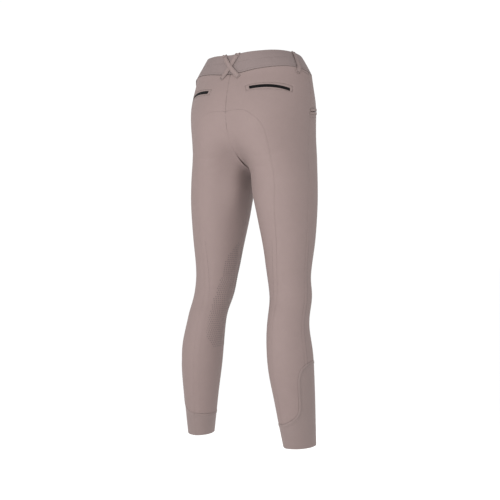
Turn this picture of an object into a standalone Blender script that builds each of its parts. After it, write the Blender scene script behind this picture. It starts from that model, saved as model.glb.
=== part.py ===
"""Riding breeches in their worn form: a hollow garment of cut and sewn cloth panels.

Metres, +Z up. The front faces -Y and the wearer's left is +X. The origin is the middle of the waist
at half the height of the waistband, where the wearer holds the garment up.
Run with: blender --background --python part.py
"""
import math

import bmesh
import bpy
import numpy as np
from mathutils import Matrix, Vector
from mathutils.geometry import delaunay_2d_cdt

GARMENT = "riding_breeches"

# Cloth and seams
PANEL_CLOTH = 0.0013        # wall of the fronts, backs and seat
CUFF_CLOTH = 0.0011         # wall of the thin ankle cuffs
BAND_CLOTH = 0.0022         # doubled wall of the waistband
LOOP_CLOTH = 0.0013         # folded tape of the belt loops
TRIM_CLOTH = 0.0012         # zip tape, pocket lips and fly placket
SEAM_GAP = 0.0003           # between two pieces at a seam
LAID_ON_GAP = 0.0005        # under what lies on a panel
PANEL_SPACING = 0.0205      # between the points of a panel
CUFF_SPACING = 0.0150       # between the points of a cuff
FINE_REACH = 0.085          # round the crotch the points of the panels lie closer together
FINEST = 0.28               # down to this share of the usual spacing
FINE_LEVELS = 3             # close rows of points for each usual row
FINE_BELOW = 0.6            # those rows are kept where the share is below this
ROW_STEP = 0.87             # between rows of points, in spacings: about that of even triangles
EDGE_CLEAR = 0.5            # inner points keep this many spacings off the outline
FLAT_RADIUS = 0.06          # metres for a radian where angles and heights are laid out flat
SHARPEST_MITER = 0.35       # holds back the inset at a sharp corner
WELD_FLAT = 1e-7            # points of a filled outline closer than this are one

# Heights, from the origin
CROTCH_Z = -0.262
HEM_Z = -0.938
SEAT_TOP_Z = -0.1293        # where the seat panel's arch starts on the centre back
FLY_END_Z = -0.172

# The outer surface of one half of the garment, the wearer's left, as a stack of level ovals.
# cx, cy is the middle of the oval; out and inner are its half widths away from and towards the other
# leg, the inner one given apart for front and back; front and back are its half depths. rho rounds
# the place where the two halves meet. square_front and square_back are the powers of its outer
# quarters, 2 for an ellipse. twist turns the section, toes out, in degrees.
FORM_COLUMNS = ("z", "cx", "cy", "out", "inner_front", "inner_back", "front", "back", "rho",
                "square_front", "square_back", "twist")
FORM_ROWS = (
    (0.000, 0.0000, -0.0010, 0.1450, 0.1450, 0.1450, 0.1100, 0.1070, 0.000, 2.00, 2.00, 0.0),
    (-0.018, 0.0000, 0.0010, 0.1555, 0.1555, 0.1555, 0.1110, 0.1065, 0.000, 2.00, 2.00, 0.0),
    (-0.035, 0.0000, 0.0010, 0.1585, 0.1585, 0.1585, 0.1115, 0.1082, 0.000, 2.00, 2.00, 0.0),
    (-0.055, 0.0100, 0.0010, 0.1510, 0.2400, 0.1600, 0.1125, 0.1142, 0.006, 2.00, 2.00, 0.0),
    (-0.080, 0.0240, 0.0005, 0.1395, 0.3400, 0.1580, 0.1140, 0.1230, 0.009, 2.05, 2.00, 0.0),
    (-0.105, 0.0370, 0.0000, 0.1270, 0.3600, 0.1434, 0.1150, 0.1298, 0.012, 2.15, 2.00, 0.0),
    (-0.130, 0.0480, 0.0000, 0.1145, 0.3100, 0.1450, 0.1165, 0.1340, 0.016, 2.20, 1.95, 0.0),
    (-0.160, 0.0580, 0.0000, 0.1025, 0.2100, 0.1274, 0.1160, 0.1335, 0.019, 2.25, 1.88, 0.0),
    (-0.190, 0.0670, 0.0000, 0.0925, 0.1350, 0.1173, 0.1135, 0.1275, 0.021, 2.35, 1.82, 0.0),
    (-0.215, 0.0745, 0.0000, 0.0860, 0.0990, 0.0934, 0.1105, 0.1185, 0.022, 2.40, 1.82, 0.0),
    (-0.240, 0.0815, 0.0000, 0.0810, 0.0744, 0.0717, 0.1065, 0.1080, 0.021, 2.35, 1.90, 0.0),
    (-0.262, 0.0870, 0.0000, 0.0785, 0.0670, 0.0670, 0.1025, 0.1010, 0.020, 2.20, 1.97, 0.0),
    (-0.285, 0.0915, 0.0000, 0.0765, 0.0700, 0.0700, 0.0985, 0.0965, 0.018, 2.10, 2.00, 0.0),
    (-0.310, 0.0945, -0.0005, 0.0755, 0.0745, 0.0745, 0.0945, 0.0940, 0.015, 2.00, 2.00, 0.0),
    (-0.340, 0.0962, -0.0003, 0.0738, 0.0738, 0.0738, 0.0922, 0.0922, 0.010, 2.00, 2.00, 0.0),
    (-0.390, 0.0993, 0.0000, 0.0695, 0.0695, 0.0695, 0.0847, 0.0847, 0.004, 2.00, 2.00, 0.0),
    (-0.450, 0.1035, 0.0010, 0.0621, 0.0621, 0.0621, 0.0730, 0.0730, 0.000, 2.00, 2.00, 0.0),
    (-0.505, 0.1052, 0.0030, 0.0550, 0.0550, 0.0550, 0.0610, 0.0640, 0.000, 2.00, 2.00, 0.0),
    (-0.538, 0.1078, 0.0045, 0.0520, 0.0520, 0.0520, 0.0545, 0.0600, 0.000, 2.00, 2.00, 1.0),
    (-0.565, 0.1117, 0.0070, 0.0508, 0.0508, 0.0508, 0.0570, 0.0576, 0.000, 2.00, 2.00, 3.5),
    (-0.590, 0.1150, 0.0130, 0.0496, 0.0496, 0.0496, 0.0567, 0.0567, 0.000, 2.00, 2.00, 5.5),
    (-0.620, 0.1180, 0.0265, 0.0484, 0.0484, 0.0484, 0.0558, 0.0558, 0.000, 2.00, 2.00, 7.0),
    (-0.650, 0.1202, 0.0350, 0.0488, 0.0488, 0.0488, 0.0569, 0.0569, 0.000, 2.00, 2.00, 8.0),
    (-0.700, 0.1262, 0.0395, 0.0516, 0.0516, 0.0516, 0.0613, 0.0613, 0.000, 2.00, 2.00, 10.0),
    (-0.760, 0.1313, 0.0385, 0.0502, 0.0502, 0.0502, 0.0615, 0.0615, 0.000, 2.00, 2.00, 12.0),
    (-0.820, 0.1366, 0.0335, 0.0445, 0.0445, 0.0445, 0.0567, 0.0567, 0.000, 2.00, 2.00, 13.5),
    (-0.880, 0.1410, 0.0278, 0.0388, 0.0388, 0.0388, 0.0513, 0.0513, 0.000, 2.00, 2.00, 15.5),
    (-0.940, 0.1454, 0.0216, 0.0333, 0.0333, 0.0333, 0.0456, 0.0456, 0.000, 2.00, 2.00, 17.0),
    (-0.960, 0.1468, 0.0196, 0.0317, 0.0317, 0.0317, 0.0440, 0.0440, 0.000, 2.00, 2.00, 17.5),
)

# Angles round a leg are in degrees: 0 is its back, 90 its outer side, 180 its front, 270 its inner
# side. Round the waist 0 is the centre back, 90 the side and 180 the centre front.
SIDE_SEAM = (               # angle, z: from the waistband to the cuff
    (90.0, -0.060), (90.0, -0.110), (90.0, -0.170), (86.5, -0.230), (79.5, -0.300), (76.0, -0.360),
    (74.0, -0.440), (75.5, -0.520), (78.0, -0.600), (80.0, -0.660), (82.0, -0.7368))
SEAT_SEAM = (               # angle, z: over the seat, then down the back of the leg to the cuff
    (0.5, -0.1300), (10.0, -0.1380), (18.8, -0.1535), (24.2, -0.1700), (26.0, -0.1880),
    (25.0, -0.2120), (19.8, -0.2520), (15.5, -0.3000), (12.0, -0.3500), (8.5, -0.4000),
    (5.0, -0.4500), (1.5, -0.5000), (-2.0, -0.5500), (-4.5, -0.6000), (-4.8, -0.6500),
    (-4.0, -0.7000), (-2.5, -0.7600), (-0.5, -0.8200), (0.0, -0.8780))
INSEAM = (                  # angle, z: from the crotch to the cuff
    (270.0, CROTCH_Z), (269.0, -0.3100), (267.0, -0.4000), (265.0, -0.5000), (264.0, -0.6000),
    (265.0, -0.7000), (267.0, -0.8000), (268.0, -0.8820))
CUFF_EDGE_OUTER_BACK = (    # angle, z: from the seat seam to the side seam, up the tongue
    (0.0, -0.8780), (12.0, -0.8755), (24.0, -0.8720), (40.0, -0.8642), (50.0, -0.8570),
    (56.5, -0.8480), (59.0, -0.8370), (59.3, -0.8200), (59.6, -0.8000), (60.3, -0.7800),
    (62.5, -0.7625), (67.0, -0.7510), (74.0, -0.7420), (82.0, -0.7368))
CUFF_EDGE_FRONT = (         # angle, z: from the side seam over the tongue and round to the inseam
    (82.0, -0.7368), (92.0, -0.7325), (104.0, -0.7298), (116.0, -0.7292), (128.0, -0.7298),
    (140.0, -0.7325), (150.0, -0.7368), (158.0, -0.7420), (165.0, -0.7510), (169.5, -0.7625),
    (171.7, -0.7800), (172.4, -0.8000), (172.7, -0.8200), (173.0, -0.8370), (175.5, -0.8480),
    (182.0, -0.8570), (192.0, -0.8642), (208.0, -0.8720), (228.0, -0.8770), (248.0, -0.8805),
    (268.0, -0.8820))
CUFF_EDGE_INNER_BACK = (    # angle, z: from the inseam to the seat seam
    (-92.0, -0.8820), (-70.0, -0.8825), (-45.0, -0.8812), (-20.0, -0.8792), (0.0, -0.8780))

# The waistband, a cone between the seam and its top edge. The heights are those of both edges.
BAND_EDGES = (              # angle, seam z, top z
    (0.0, -0.0360, 0.0108), (10.0, -0.0345, 0.0125), (20.0, -0.0300, 0.0152),
    (30.0, -0.0262, 0.0172), (45.0, -0.0225, 0.0202), (60.0, -0.0198, 0.0228),
    (75.0, -0.0190, 0.0240), (90.0, -0.0195, 0.0240), (120.0, -0.0215, 0.0215),
    (150.0, -0.0245, 0.0180), (180.0, -0.0260, 0.0160))
BAND_TOP_Y = -0.0087        # middle of the top edge
BAND_TOP_WIDTH = 0.1246     # half widths of the top edge
BAND_TOP_BACK = 0.1143
BAND_TOP_FRONT = 0.1080
BAND_COLUMNS = 88
BAND_ROWS = 3
BAND_FOOT = 0.0024          # its lowest stretch, which stands upright on the seam
BAND_OVERLAP = 11.0         # degrees each end runs past the centre front
BAND_RAMP = 14.0            # degrees in which the upper end rises off the lower one

# Belt loops: 10.5 mm tape from just under the band's top edge to below its seam
LOOP_WIDTH = 0.0105
LOOP_RISE = 0.0016          # how far the middle of a loop stands off the band
LOOP_ROWS = 12
LOOP_SEWN = 0.22            # share of a loop's length in which each end rises off the band
LOOP_TOP_DROP = 0.0015      # top end, below the band's top edge
CROSS_TAIL = 0.0115         # bottom ends, below the band's seam
STRAIGHT_TAIL = 0.0145
CROSS_REACH = 0.0195        # half the sideways run of each crossed loop
CROSS_LIFT = 0.0032         # of the upper crossed loop over the lower one
STRAIGHT_LOOPS = (          # name, angles of the top and of the foot from the centre back
    ("side", 73.0, 69.5), ("front", 141.0, 141.0))

# Back pocket mouths: a closed black zip in an arched slot
BACK_POCKET = (             # angle, z along the middle of the zip
    (16.5, -0.0757), (30.0, -0.0729), (44.0, -0.0745), (58.0, -0.0797))
BACK_ZIP_HEIGHT = 0.0080
# Front pocket mouths: two lips, one over the other, running forward from the side seam
FRONT_POCKET = (            # angle, z along the slit
    (92.5, -0.1246), (104.0, -0.1205), (118.0, -0.1165), (132.0, -0.1130), (143.0, -0.1110))
POCKET_LIP_HEIGHT = 0.0042
POCKET_SLIT = 0.0016
TRIM_SPACING = 0.0075       # between the points along a trim piece

# Fly placket, on the wearer's right, over the centre front
FLY_WIDTH = 0.034
FLY_PAST_CENTRE = 0.004
FLY_TOP_DROP = 0.0006       # its top edge, below the band's seam
FLY_ROUND = 0.030           # height of the curved lower corner
FLY_TAPER = 0.75            # share of the width lost at the foot of the curved corner
FLY_ROWS = 14
FLY_COLUMNS = 6

BUTTON_RADIUS = 0.0085
BUTTON_DEPTH = 0.0030
BUTTON_SIDES = 24
BUTTON_EDGE = 0.0008
BUTTON_CREASE = 40          # degrees: edges sharper than this stay crisp

NORMAL_STEP = 0.002         # radians, for the slope of the surface round a leg
WAIST_STEP = 0.5            # degrees, for its slope round the waist
SLOPE_STEP = 0.001          # metres, for other slopes
SHARE_STEP = 0.02           # of the band's height, for the band's slope
LEFT, RIGHT = 1, -1
SIDES = ((LEFT, "left"), (RIGHT, "right"))

MATERIALS = {               # base colour, roughness
    "stretch_cloth": ((0.366, 0.292, 0.270), 0.72),
    "band_cloth": ((0.318, 0.258, 0.240), 0.74),
    "cuff_cloth": ((0.350, 0.281, 0.262), 0.66),
    "zip_tape": ((0.012, 0.012, 0.013), 0.42),
    "button": ((0.210, 0.180, 0.170), 0.35),
}


# Curves ---------------------------------------------------------------------------------------------

class Spline:
    """A smooth curve y(x) through knots of rising x, without end curvature."""

    def __init__(self, x, y):
        self.x = np.asarray(x, float)
        self.y = np.asarray(y, float)
        count = len(self.x)
        self.h = np.diff(self.x)
        rows = np.zeros((count, count))
        rhs = np.zeros(count)
        rows[0, 0] = rows[-1, -1] = 1.0
        for i in range(1, count - 1):
            rows[i, i - 1:i + 2] = (self.h[i - 1], 2 * (self.h[i - 1] + self.h[i]), self.h[i])
            rise_after = (self.y[i + 1] - self.y[i]) / self.h[i]
            rise_before = (self.y[i] - self.y[i - 1]) / self.h[i - 1]
            rhs[i] = 6 * (rise_after - rise_before)
        self.bend = np.linalg.solve(rows, rhs)

    def __call__(self, x):
        x = np.asarray(x, float)
        i = np.clip(np.searchsorted(self.x, x) - 1, 0, len(self.h) - 1)
        after = x - self.x[i]
        before = self.x[i + 1] - x
        curve = (self.bend[i] * before ** 3 + self.bend[i + 1] * after ** 3) / (6 * self.h[i])
        left = (self.y[i] / self.h[i] - self.bend[i] * self.h[i] / 6) * before
        right = (self.y[i + 1] / self.h[i] - self.bend[i + 1] * self.h[i] / 6) * after
        return curve + left + right


def smooth_path(rows, samples=400):
    """A fine polyline through (angle, z) rows, as arrays of radians and metres."""
    points = np.array([(math.radians(angle) * FLAT_RADIUS, z) for angle, z in rows])
    run = np.concatenate(([0.0], np.cumsum(np.linalg.norm(np.diff(points, axis=0), axis=1))))
    at = np.linspace(0.0, run[-1], samples)
    return np.stack((Spline(run, points[:, 0])(at) / FLAT_RADIUS, Spline(run, points[:, 1])(at)), axis=1)


def smoothstep(value):
    value = min(max(value, 0.0), 1.0)
    return value * value * (3 - 2 * value)


# The outer surface ----------------------------------------------------------------------------------

FORM = {}
for _place, _column in enumerate(FORM_COLUMNS):
    FORM[_column] = Spline([row[0] for row in FORM_ROWS[::-1]], [row[_place] for row in FORM_ROWS[::-1]])


def leg_point(angle, z):
    """The point at an angle round the left leg, in radians, and a height, as if it stood alone."""
    size = {column: FORM[column](z) for column in FORM_COLUMNS[1:]}
    sine, cosine = np.sin(angle), np.cos(angle)
    inner = np.where(cosine > 0, size["inner_back"], size["inner_front"])
    width = np.where(sine > 0, size["out"], inner)
    depth = np.where(cosine > 0, size["back"], size["front"])
    power = np.where(cosine > 0, size["square_back"], size["square_front"])
    power = np.where(sine > 0, power, 2.0)
    across = width * np.sign(sine) * np.abs(sine) ** (2 / power)
    along = depth * np.sign(cosine) * np.abs(cosine) ** (2 / power)
    turn = np.radians(size["twist"])
    x = size["cx"] + across * np.cos(turn) - along * np.sin(turn)
    y = size["cy"] + across * np.sin(turn) + along * np.cos(turn)
    return np.stack(np.broadcast_arrays(x, y, z), axis=-1)


def skin(angle, z, side=LEFT):
    """The point of the outer surface, where the two legs run smoothly into each other."""
    point = leg_point(angle, z)
    x = np.sqrt(np.maximum(point[..., 0] ** 2 - FORM["rho"](z) ** 2, 0.0))
    return np.stack((x * side, point[..., 1], point[..., 2]), axis=-1)


def skin_normal(angle, z, side=LEFT):
    """The outward unit normal of skin(), which has no sideways part on the centre plane."""
    alone = leg_point(angle, z)[..., 0]
    normal = normal_at(leg_point, angle, z, NORMAL_STEP, NORMAL_STEP / 4)
    rho = FORM["rho"](z)
    rho_slope = (FORM["rho"](z + NORMAL_STEP) - FORM["rho"](z - NORMAL_STEP)) / (2 * NORMAL_STEP)
    joined = np.sqrt(np.maximum(alone ** 2 - rho ** 2, 0.0))
    normal = np.stack((normal[..., 0] * side * joined / alone, normal[..., 1],
                       normal[..., 2] + normal[..., 0] * rho * rho_slope / alone), axis=-1)
    return normal / np.linalg.norm(normal, axis=-1, keepdims=True)


def centre_angle(z, at_back):
    """The angle at which the surface meets the other half, above the crotch."""
    inner = FORM["inner_back" if at_back else "inner_front"](z)
    reach = math.asin(min(float((FORM["cx"](z) - FORM["rho"](z)) / inner), 1.0))
    return -reach if at_back else math.pi + reach


def band_edge(angle, column):
    """The height of the band's seam (1) or top (2) edge at a waist angle in degrees."""
    return float(BAND_CURVES[column](abs(angle)))


BAND_CURVES = {column: Spline([row[0] for row in BAND_EDGES], [row[column] for row in BAND_EDGES])
               for column in (1, 2)}


def torso_point(angle, z):
    """The outer surface at a waist angle in degrees, negative on the wearer's right, and a height."""
    side = LEFT if angle >= 0 else RIGHT
    turn = abs(angle)
    if turn > 180:
        side, turn = -side, 360 - turn
    share = turn / 90
    if turn < 90:
        leg_angle = centre_angle(z, True) * (1 - share) + math.pi / 2 * share
    else:
        leg_angle = math.pi / 2 * (2 - share) + centre_angle(z, False) * (share - 1)
    return skin(leg_angle, z, side)


def band_point(angle, share):
    """The band's outer surface, from its seam (share 0) to its top edge (share 1)."""
    turn = abs(angle) if abs(angle) <= 180 else 360 - abs(angle)
    low = torso_point(angle, band_edge(turn, 1))
    radians = math.radians(angle)
    depth = BAND_TOP_BACK if math.cos(radians) > 0 else BAND_TOP_FRONT
    x = BAND_TOP_WIDTH * math.sin(radians)
    y = BAND_TOP_Y + depth * math.cos(radians)
    high = np.array((x, y, band_edge(turn, 2)))
    return low * (1 - share) + high * share


def waist_point(angle, z):
    """The outer surface of the band or, below its seam, of the panels."""
    seam, top = band_edge(angle, 1), band_edge(angle, 2)
    if z >= seam:
        return band_point(angle, (z - seam) / (top - seam))
    return torso_point(angle, z)


def normal_at(surface, u, v, step_u, step_v):
    """The outward unit normals of surface(u, v) by differences; u runs clockwise seen from above."""
    du = surface(u + step_u, v) - surface(u - step_u, v)
    dv = surface(u, v + step_v) - surface(u, v - step_v)
    normal = np.cross(dv, du)
    return normal / np.linalg.norm(normal, axis=-1, keepdims=True)


# Objects --------------------------------------------------------------------------------------------

def clear_scene():
    for item in list(bpy.data.objects):
        bpy.data.objects.remove(item, do_unlink=True)


def make_material(name):
    colour, roughness = MATERIALS[name]
    material = bpy.data.materials.new(name)
    material.use_nodes = True
    shader = material.node_tree.nodes["Principled BSDF"]
    shader.inputs["Base Color"].default_value = (*colour, 1.0)
    shader.inputs["Roughness"].default_value = roughness
    shader.inputs["Metallic"].default_value = 0.0
    return material


def make_object(name, mesh, material):
    mesh.materials.append(material)
    item = bpy.data.objects.new(name, mesh)
    COLLECTION.objects.link(item)
    return item


def thicken(item, thickness, offset):
    """Give an open surface its cloth thickness: offset 1 is outward, 0 to both sides, -1 inward."""
    solid = item.modifiers.new("cloth", "SOLIDIFY")
    solid.thickness = thickness
    solid.offset = offset
    solid.use_quality_normals = True


def grid_mesh(name, points):
    """A mesh over rows of points, its faces turned by the order of rows and columns."""
    rows, columns = points.shape[:2]
    faces = []
    for r in range(rows - 1):
        for c in range(columns - 1):
            corner = r * columns + c
            faces.append((corner, corner + 1, corner + columns + 1, corner + columns))
    mesh = bpy.data.meshes.new(name)
    mesh.from_pydata([tuple(p) for p in points.reshape(-1, 3)], [], faces)
    mesh.shade_smooth()
    return mesh


# Panels ---------------------------------------------------------------------------------------------

def grade(points):
    """How much of the usual spacing fits the surface at these points: less close to the crotch."""
    distance = np.linalg.norm(points - np.array((0.0, 0.0, CROTCH_Z)), axis=-1)
    return np.clip(distance / FINE_REACH, FINEST, 1.0)


def graded_run(points):
    """Distances along a row of points, stretched where the points have to be closer."""
    steps = np.linalg.norm(np.diff(points, axis=0), axis=1) / grade((points[1:] + points[:-1]) / 2)
    return np.concatenate(([0.0], np.cumsum(steps)))


def seam_points(path, spacing):
    """Points along an (angle, z) path, spaced on the wearer's left, ends included."""
    run = graded_run(skin(path[:, 0], path[:, 1]))
    count = max(1, round(run[-1] / spacing))
    at = np.linspace(0.0, run[-1], count + 1)
    return np.stack((np.interp(at, run, path[:, 0]), np.interp(at, run, path[:, 1])), axis=1)


def centre_path(z_top, z_bottom, at_back, samples=60):
    heights = np.linspace(z_top, z_bottom, samples)
    return np.array([(centre_angle(z, at_back), z) for z in heights])


def waist_path(start, end, samples=90):
    """The band's seam between two waist angles, as leg angles and heights."""
    path = []
    for angle in np.linspace(start, end, samples):
        z = band_edge(angle, 1)
        share = angle / 90
        if share < 1:
            leg_angle = centre_angle(z, True) * (1 - share) + math.pi / 2 * share
        else:
            leg_angle = math.pi / 2 * (2 - share) + centre_angle(z, False) * (share - 1)
        path.append((leg_angle, z))
    return np.array(path)


def join_paths(*pieces):
    """One closed outline from paths that follow each other, without repeated corners."""
    return np.concatenate([piece[:-1] for piece in pieces])


def inside(points, outline):
    """Which of the points lie inside the closed outline."""
    result = np.zeros(len(points), bool)
    following = np.roll(outline, -1, axis=0)
    for (x0, y0), (x1, y1) in zip(outline, following):
        if y0 == y1:
            continue
        crosses = (y0 > points[:, 1]) != (y1 > points[:, 1])
        at = x0 + (points[:, 1] - y0) * (x1 - x0) / (y1 - y0)
        result ^= crosses & (points[:, 0] < at)
    return result


def inner_points(outline, spacing):
    """Staggered points inside an outline, about one spacing apart on the surface."""
    found = []
    step = spacing * ROW_STEP / FINE_LEVELS
    levels = np.arange(outline[:, 1].max() - spacing / 2, outline[:, 1].min(), -step)
    fine = np.linspace(outline[:, 0].min(), outline[:, 0].max(), 240)
    for number, level in enumerate(levels):
        line = skin(fine, np.full(len(fine), level))
        run = graded_run(line)
        start = spacing * (0.5 if number // FINE_LEVELS % 2 else 1.0)
        angles = np.interp(np.arange(start, run[-1], spacing), run, fine)
        close = grade(skin(angles, np.full(len(angles), level))) < FINE_BELOW
        found.extend((angle, level) for angle, near in zip(angles, close)
                     if near or number % FINE_LEVELS == 0)
    found = np.array(found)
    found = found[inside(found, outline)]
    edge = skin(outline[:, 0], outline[:, 1])
    edge = np.concatenate((edge, (edge + np.roll(edge, -1, axis=0)) / 2))
    body = skin(found[:, 0], found[:, 1])
    nearest = np.linalg.norm(body[:, None] - edge[None], axis=2).min(axis=1)
    return found[nearest > spacing * EDGE_CLEAR * grade(body)]


def inset(points, normals, distance):
    """Move a closed loop of points towards its inside along the surface.

    The loop runs so that its inside lies to the left, seen from outside the garment."""
    edge = np.roll(points, -1, axis=0) - points
    edge /= np.linalg.norm(edge, axis=1)[:, None]
    inward = np.cross(normals, edge)
    inward /= np.linalg.norm(inward, axis=1)[:, None]
    before = np.roll(inward, 1, axis=0)
    miter = 1 + np.sum(inward * before, axis=1)
    return points + distance * (inward + before) / np.maximum(miter, SHARPEST_MITER)[:, None]


def make_panel(name, outline, side, material, thickness, spacing):
    """A cut piece of cloth: its outline in (angle, z), filled and laid on the outer surface."""
    scale = np.array((FLAT_RADIUS, 1.0))
    flat = np.concatenate((outline, inner_points(outline, spacing)))
    corners = len(outline)
    loops = [list(range(corners))]
    filled = delaunay_2d_cdt([Vector(p) for p in flat * scale], [], loops, 1, WELD_FLAT)
    flat = np.array([tuple(p) for p in filled[0]]) / scale
    points = skin(flat[:, 0], flat[:, 1], side)
    normals = skin_normal(flat[:, 0], flat[:, 1], side)

    place = {corner: i for i, origins in enumerate(filled[3]) for corner in origins}
    order = [place[corner] for corner in range(corners)]
    if side == LEFT:
        order.reverse()
    if polygon_area(outline) < 0:
        order.reverse()
    points[order] = inset(points[order], normals[order], SEAM_GAP / 2)
    points -= normals * thickness / 2

    faces = [face if side == RIGHT else face[::-1] for face in filled[2]]
    mesh = bpy.data.meshes.new(name)
    mesh.from_pydata([tuple(p) for p in points], [], faces)
    mesh.shade_smooth()
    clear_centre(mesh, order, side, thickness)
    thicken(make_object(name, mesh, material), thickness, 0.0)


def clear_centre(mesh, edge, side, thickness):
    """Shift an edge that leans over the centre plane, so that its whole wall stays on its side."""
    leans = [mesh.vertices[i].normal.x * side for i in edge]
    for i, lean in zip(edge, leans):
        place = mesh.vertices[i].co
        room = SEAM_GAP / 2 + abs(lean) * thickness / 2
        if place.x * side < room:
            place.x = room * side
    mesh.update()


def polygon_area(outline):
    following = np.roll(outline, -1, axis=0)
    return 0.5 * np.sum(outline[:, 0] * following[:, 1] - following[:, 0] * outline[:, 1])


def build_panels(materials):
    """The six leg and seat panels and the two cuffs."""
    cloth = materials["stretch_cloth"]
    side_z = band_edge(90.0, 1)
    side = seam_points(smooth_path(((90.0, side_z),) + SIDE_SEAM), PANEL_SPACING)
    back_start = math.degrees(centre_angle(SEAT_TOP_Z, True))
    seat = seam_points(smooth_path(((back_start, SEAT_TOP_Z),) + SEAT_SEAM), PANEL_SPACING)
    inseam = seam_points(smooth_path(INSEAM), PANEL_SPACING)
    edge_outer = seam_points(smooth_path(CUFF_EDGE_OUTER_BACK), CUFF_SPACING)
    edge_front = seam_points(smooth_path(CUFF_EDGE_FRONT), CUFF_SPACING)
    edge_inner = seam_points(smooth_path(CUFF_EDGE_INNER_BACK), CUFF_SPACING)
    waist_back = seam_points(waist_path(0.0, 90.0), PANEL_SPACING)
    waist_front = seam_points(waist_path(90.0, 180.0), PANEL_SPACING)
    back_top = seam_points(centre_path(band_edge(0.0, 1), SEAT_TOP_Z, True), PANEL_SPACING)
    back_low = seam_points(centre_path(SEAT_TOP_Z, CROTCH_Z, True), PANEL_SPACING)
    front = seam_points(centre_path(band_edge(180.0, 1), CROTCH_Z, False), PANEL_SPACING)
    full_turn = np.array((2 * math.pi, 0.0))

    back_outline = join_paths(waist_back, side, edge_outer[::-1], seat[::-1], back_top[::-1])
    seat_outline = join_paths(seat, edge_inner[::-1], (inseam - full_turn)[::-1], back_low[::-1])
    front_outline = join_paths(waist_front, front, inseam, edge_front[::-1], side[::-1])
    hem = np.array([(angle, HEM_Z) for angle in np.linspace(2 * math.pi, 0.0, 200)])
    hem = seam_points(hem, CUFF_SPACING)
    cuff_seam = seam_points(np.array(((0.0, HEM_Z), (0.0, edge_outer[0, 1]))), CUFF_SPACING)
    cuff_outline = join_paths(cuff_seam, edge_outer, edge_front, edge_inner + full_turn,
                              (cuff_seam + full_turn)[::-1], hem)
    for sign, label in SIDES:
        make_panel("back_" + label, back_outline, sign, cloth, PANEL_CLOTH, PANEL_SPACING)
        make_panel("seat_" + label, seat_outline, sign, cloth, PANEL_CLOTH, PANEL_SPACING)
        make_panel("front_" + label, front_outline, sign, cloth, PANEL_CLOTH, PANEL_SPACING)
        make_panel("cuff_" + label, cuff_outline, sign, materials["cuff_cloth"], CUFF_CLOTH, CUFF_SPACING)


# Waistband and loops --------------------------------------------------------------------------------

def build_waistband(materials):
    """One strip round the waist; its right end laps over its left end at the centre front."""
    start, end = -180 - BAND_OVERLAP, 180 + BAND_OVERLAP
    step_over = BAND_CLOTH + SEAM_GAP
    rows = []
    shares = np.linspace(0.0, 1.0, BAND_ROWS + 1)
    heights = [(0.0, SEAM_GAP), (0.0, SEAM_GAP + BAND_FOOT)] + [(share, 0.0) for share in shares[1:]]
    for share, above in heights:
        row = []
        for angle in np.linspace(start, end, BAND_COLUMNS + 1):
            normal = normal_at(band_point, angle, share, WAIST_STEP, SHARE_STEP)
            rise = smoothstep((-180 + BAND_OVERLAP + BAND_RAMP - angle) / BAND_RAMP) * step_over
            outward = np.array((normal[0], normal[1], 0.0)) / math.hypot(normal[0], normal[1])
            row.append(band_point(angle, share) + outward * rise + np.array((0.0, 0.0, above)))
        rows.append(row)
    mesh = grid_mesh("waistband", np.array(rows)[:, ::-1])
    thicken(make_object("waistband", mesh, materials["band_cloth"]), BAND_CLOTH, -1.0)


def waist_metric(angle, z):
    """Metres along the surface for each degree round the waist."""
    step = WAIST_STEP
    return np.linalg.norm(waist_point(angle + step, z) - waist_point(angle - step, z)) / (2 * step)


def build_loop(name, start, end, lift, material):
    """A tape between two (angle, z) ends, arched off the band between its sewn ends."""
    middle = ((start[0] + end[0]) / 2, (start[1] + end[1]) / 2)
    metric = waist_metric(*middle)
    run = np.array(((end[0] - start[0]) * metric, end[1] - start[1]))
    run /= np.linalg.norm(run)
    rows = []
    for i in range(LOOP_ROWS + 1):
        t = i / LOOP_ROWS
        arch = smoothstep(t / LOOP_SEWN) * smoothstep((1 - t) / LOOP_SEWN)
        row = []
        for across in (-0.5, 0.0, 0.5):
            angle = start[0] + (end[0] - start[0]) * t - across * LOOP_WIDTH * run[1] / metric
            z = start[1] + (end[1] - start[1]) * t + across * LOOP_WIDTH * run[0]
            z = min(z, band_edge(angle, 2) - LOOP_TOP_DROP / 2)
            normal = normal_at(waist_point, angle, z, WAIST_STEP, 4 * SLOPE_STEP)
            row.append(waist_point(angle, z) + normal * (LAID_ON_GAP + arch * lift))
        rows.append(row)
    mesh = grid_mesh(name, np.array(rows))
    thicken(make_object(name, mesh, material), LOOP_CLOTH, 1.0)


def build_loops(materials):
    cloth = materials["band_cloth"]
    reach = CROSS_REACH / waist_metric(0.0, 0.0)
    top_z = band_edge(reach, 2) - LOOP_TOP_DROP
    low_z = band_edge(reach, 1) - CROSS_TAIL
    build_loop("loop_cross_under", (-reach, top_z), (reach, low_z), LOOP_RISE, cloth)
    build_loop("loop_cross_over", (reach, top_z), (-reach, low_z), CROSS_LIFT, cloth)
    for place, top_angle, foot_angle in STRAIGHT_LOOPS:
        for sign, label in SIDES:
            top = (top_angle * sign, band_edge(top_angle, 2) - LOOP_TOP_DROP)
            low = (foot_angle * sign, band_edge(foot_angle, 1) - STRAIGHT_TAIL)
            build_loop("loop_%s_%s" % (place, label), top, low, LOOP_RISE, cloth)


# Pockets, fly and button ----------------------------------------------------------------------------

def build_trim(name, rows, shift, height, side, material):
    """A strip of the given height along (angle, z) rows, shifted up, laid on the panels."""
    path = smooth_path(rows)
    points = seam_points(path, TRIM_SPACING)
    lines = []
    for edge in (-0.5, 0.0, 0.5):
        line = []
        for angle, z in points:
            at = z + shift + edge * height
            line.append(skin(angle, at, side) + skin_normal(angle, at, side) * LAID_ON_GAP)
        lines.append(line)
    grid = np.array(lines)
    mesh = grid_mesh(name, grid if side == RIGHT else grid[:, ::-1])
    thicken(make_object(name, mesh, material), TRIM_CLOTH, 1.0)


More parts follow.
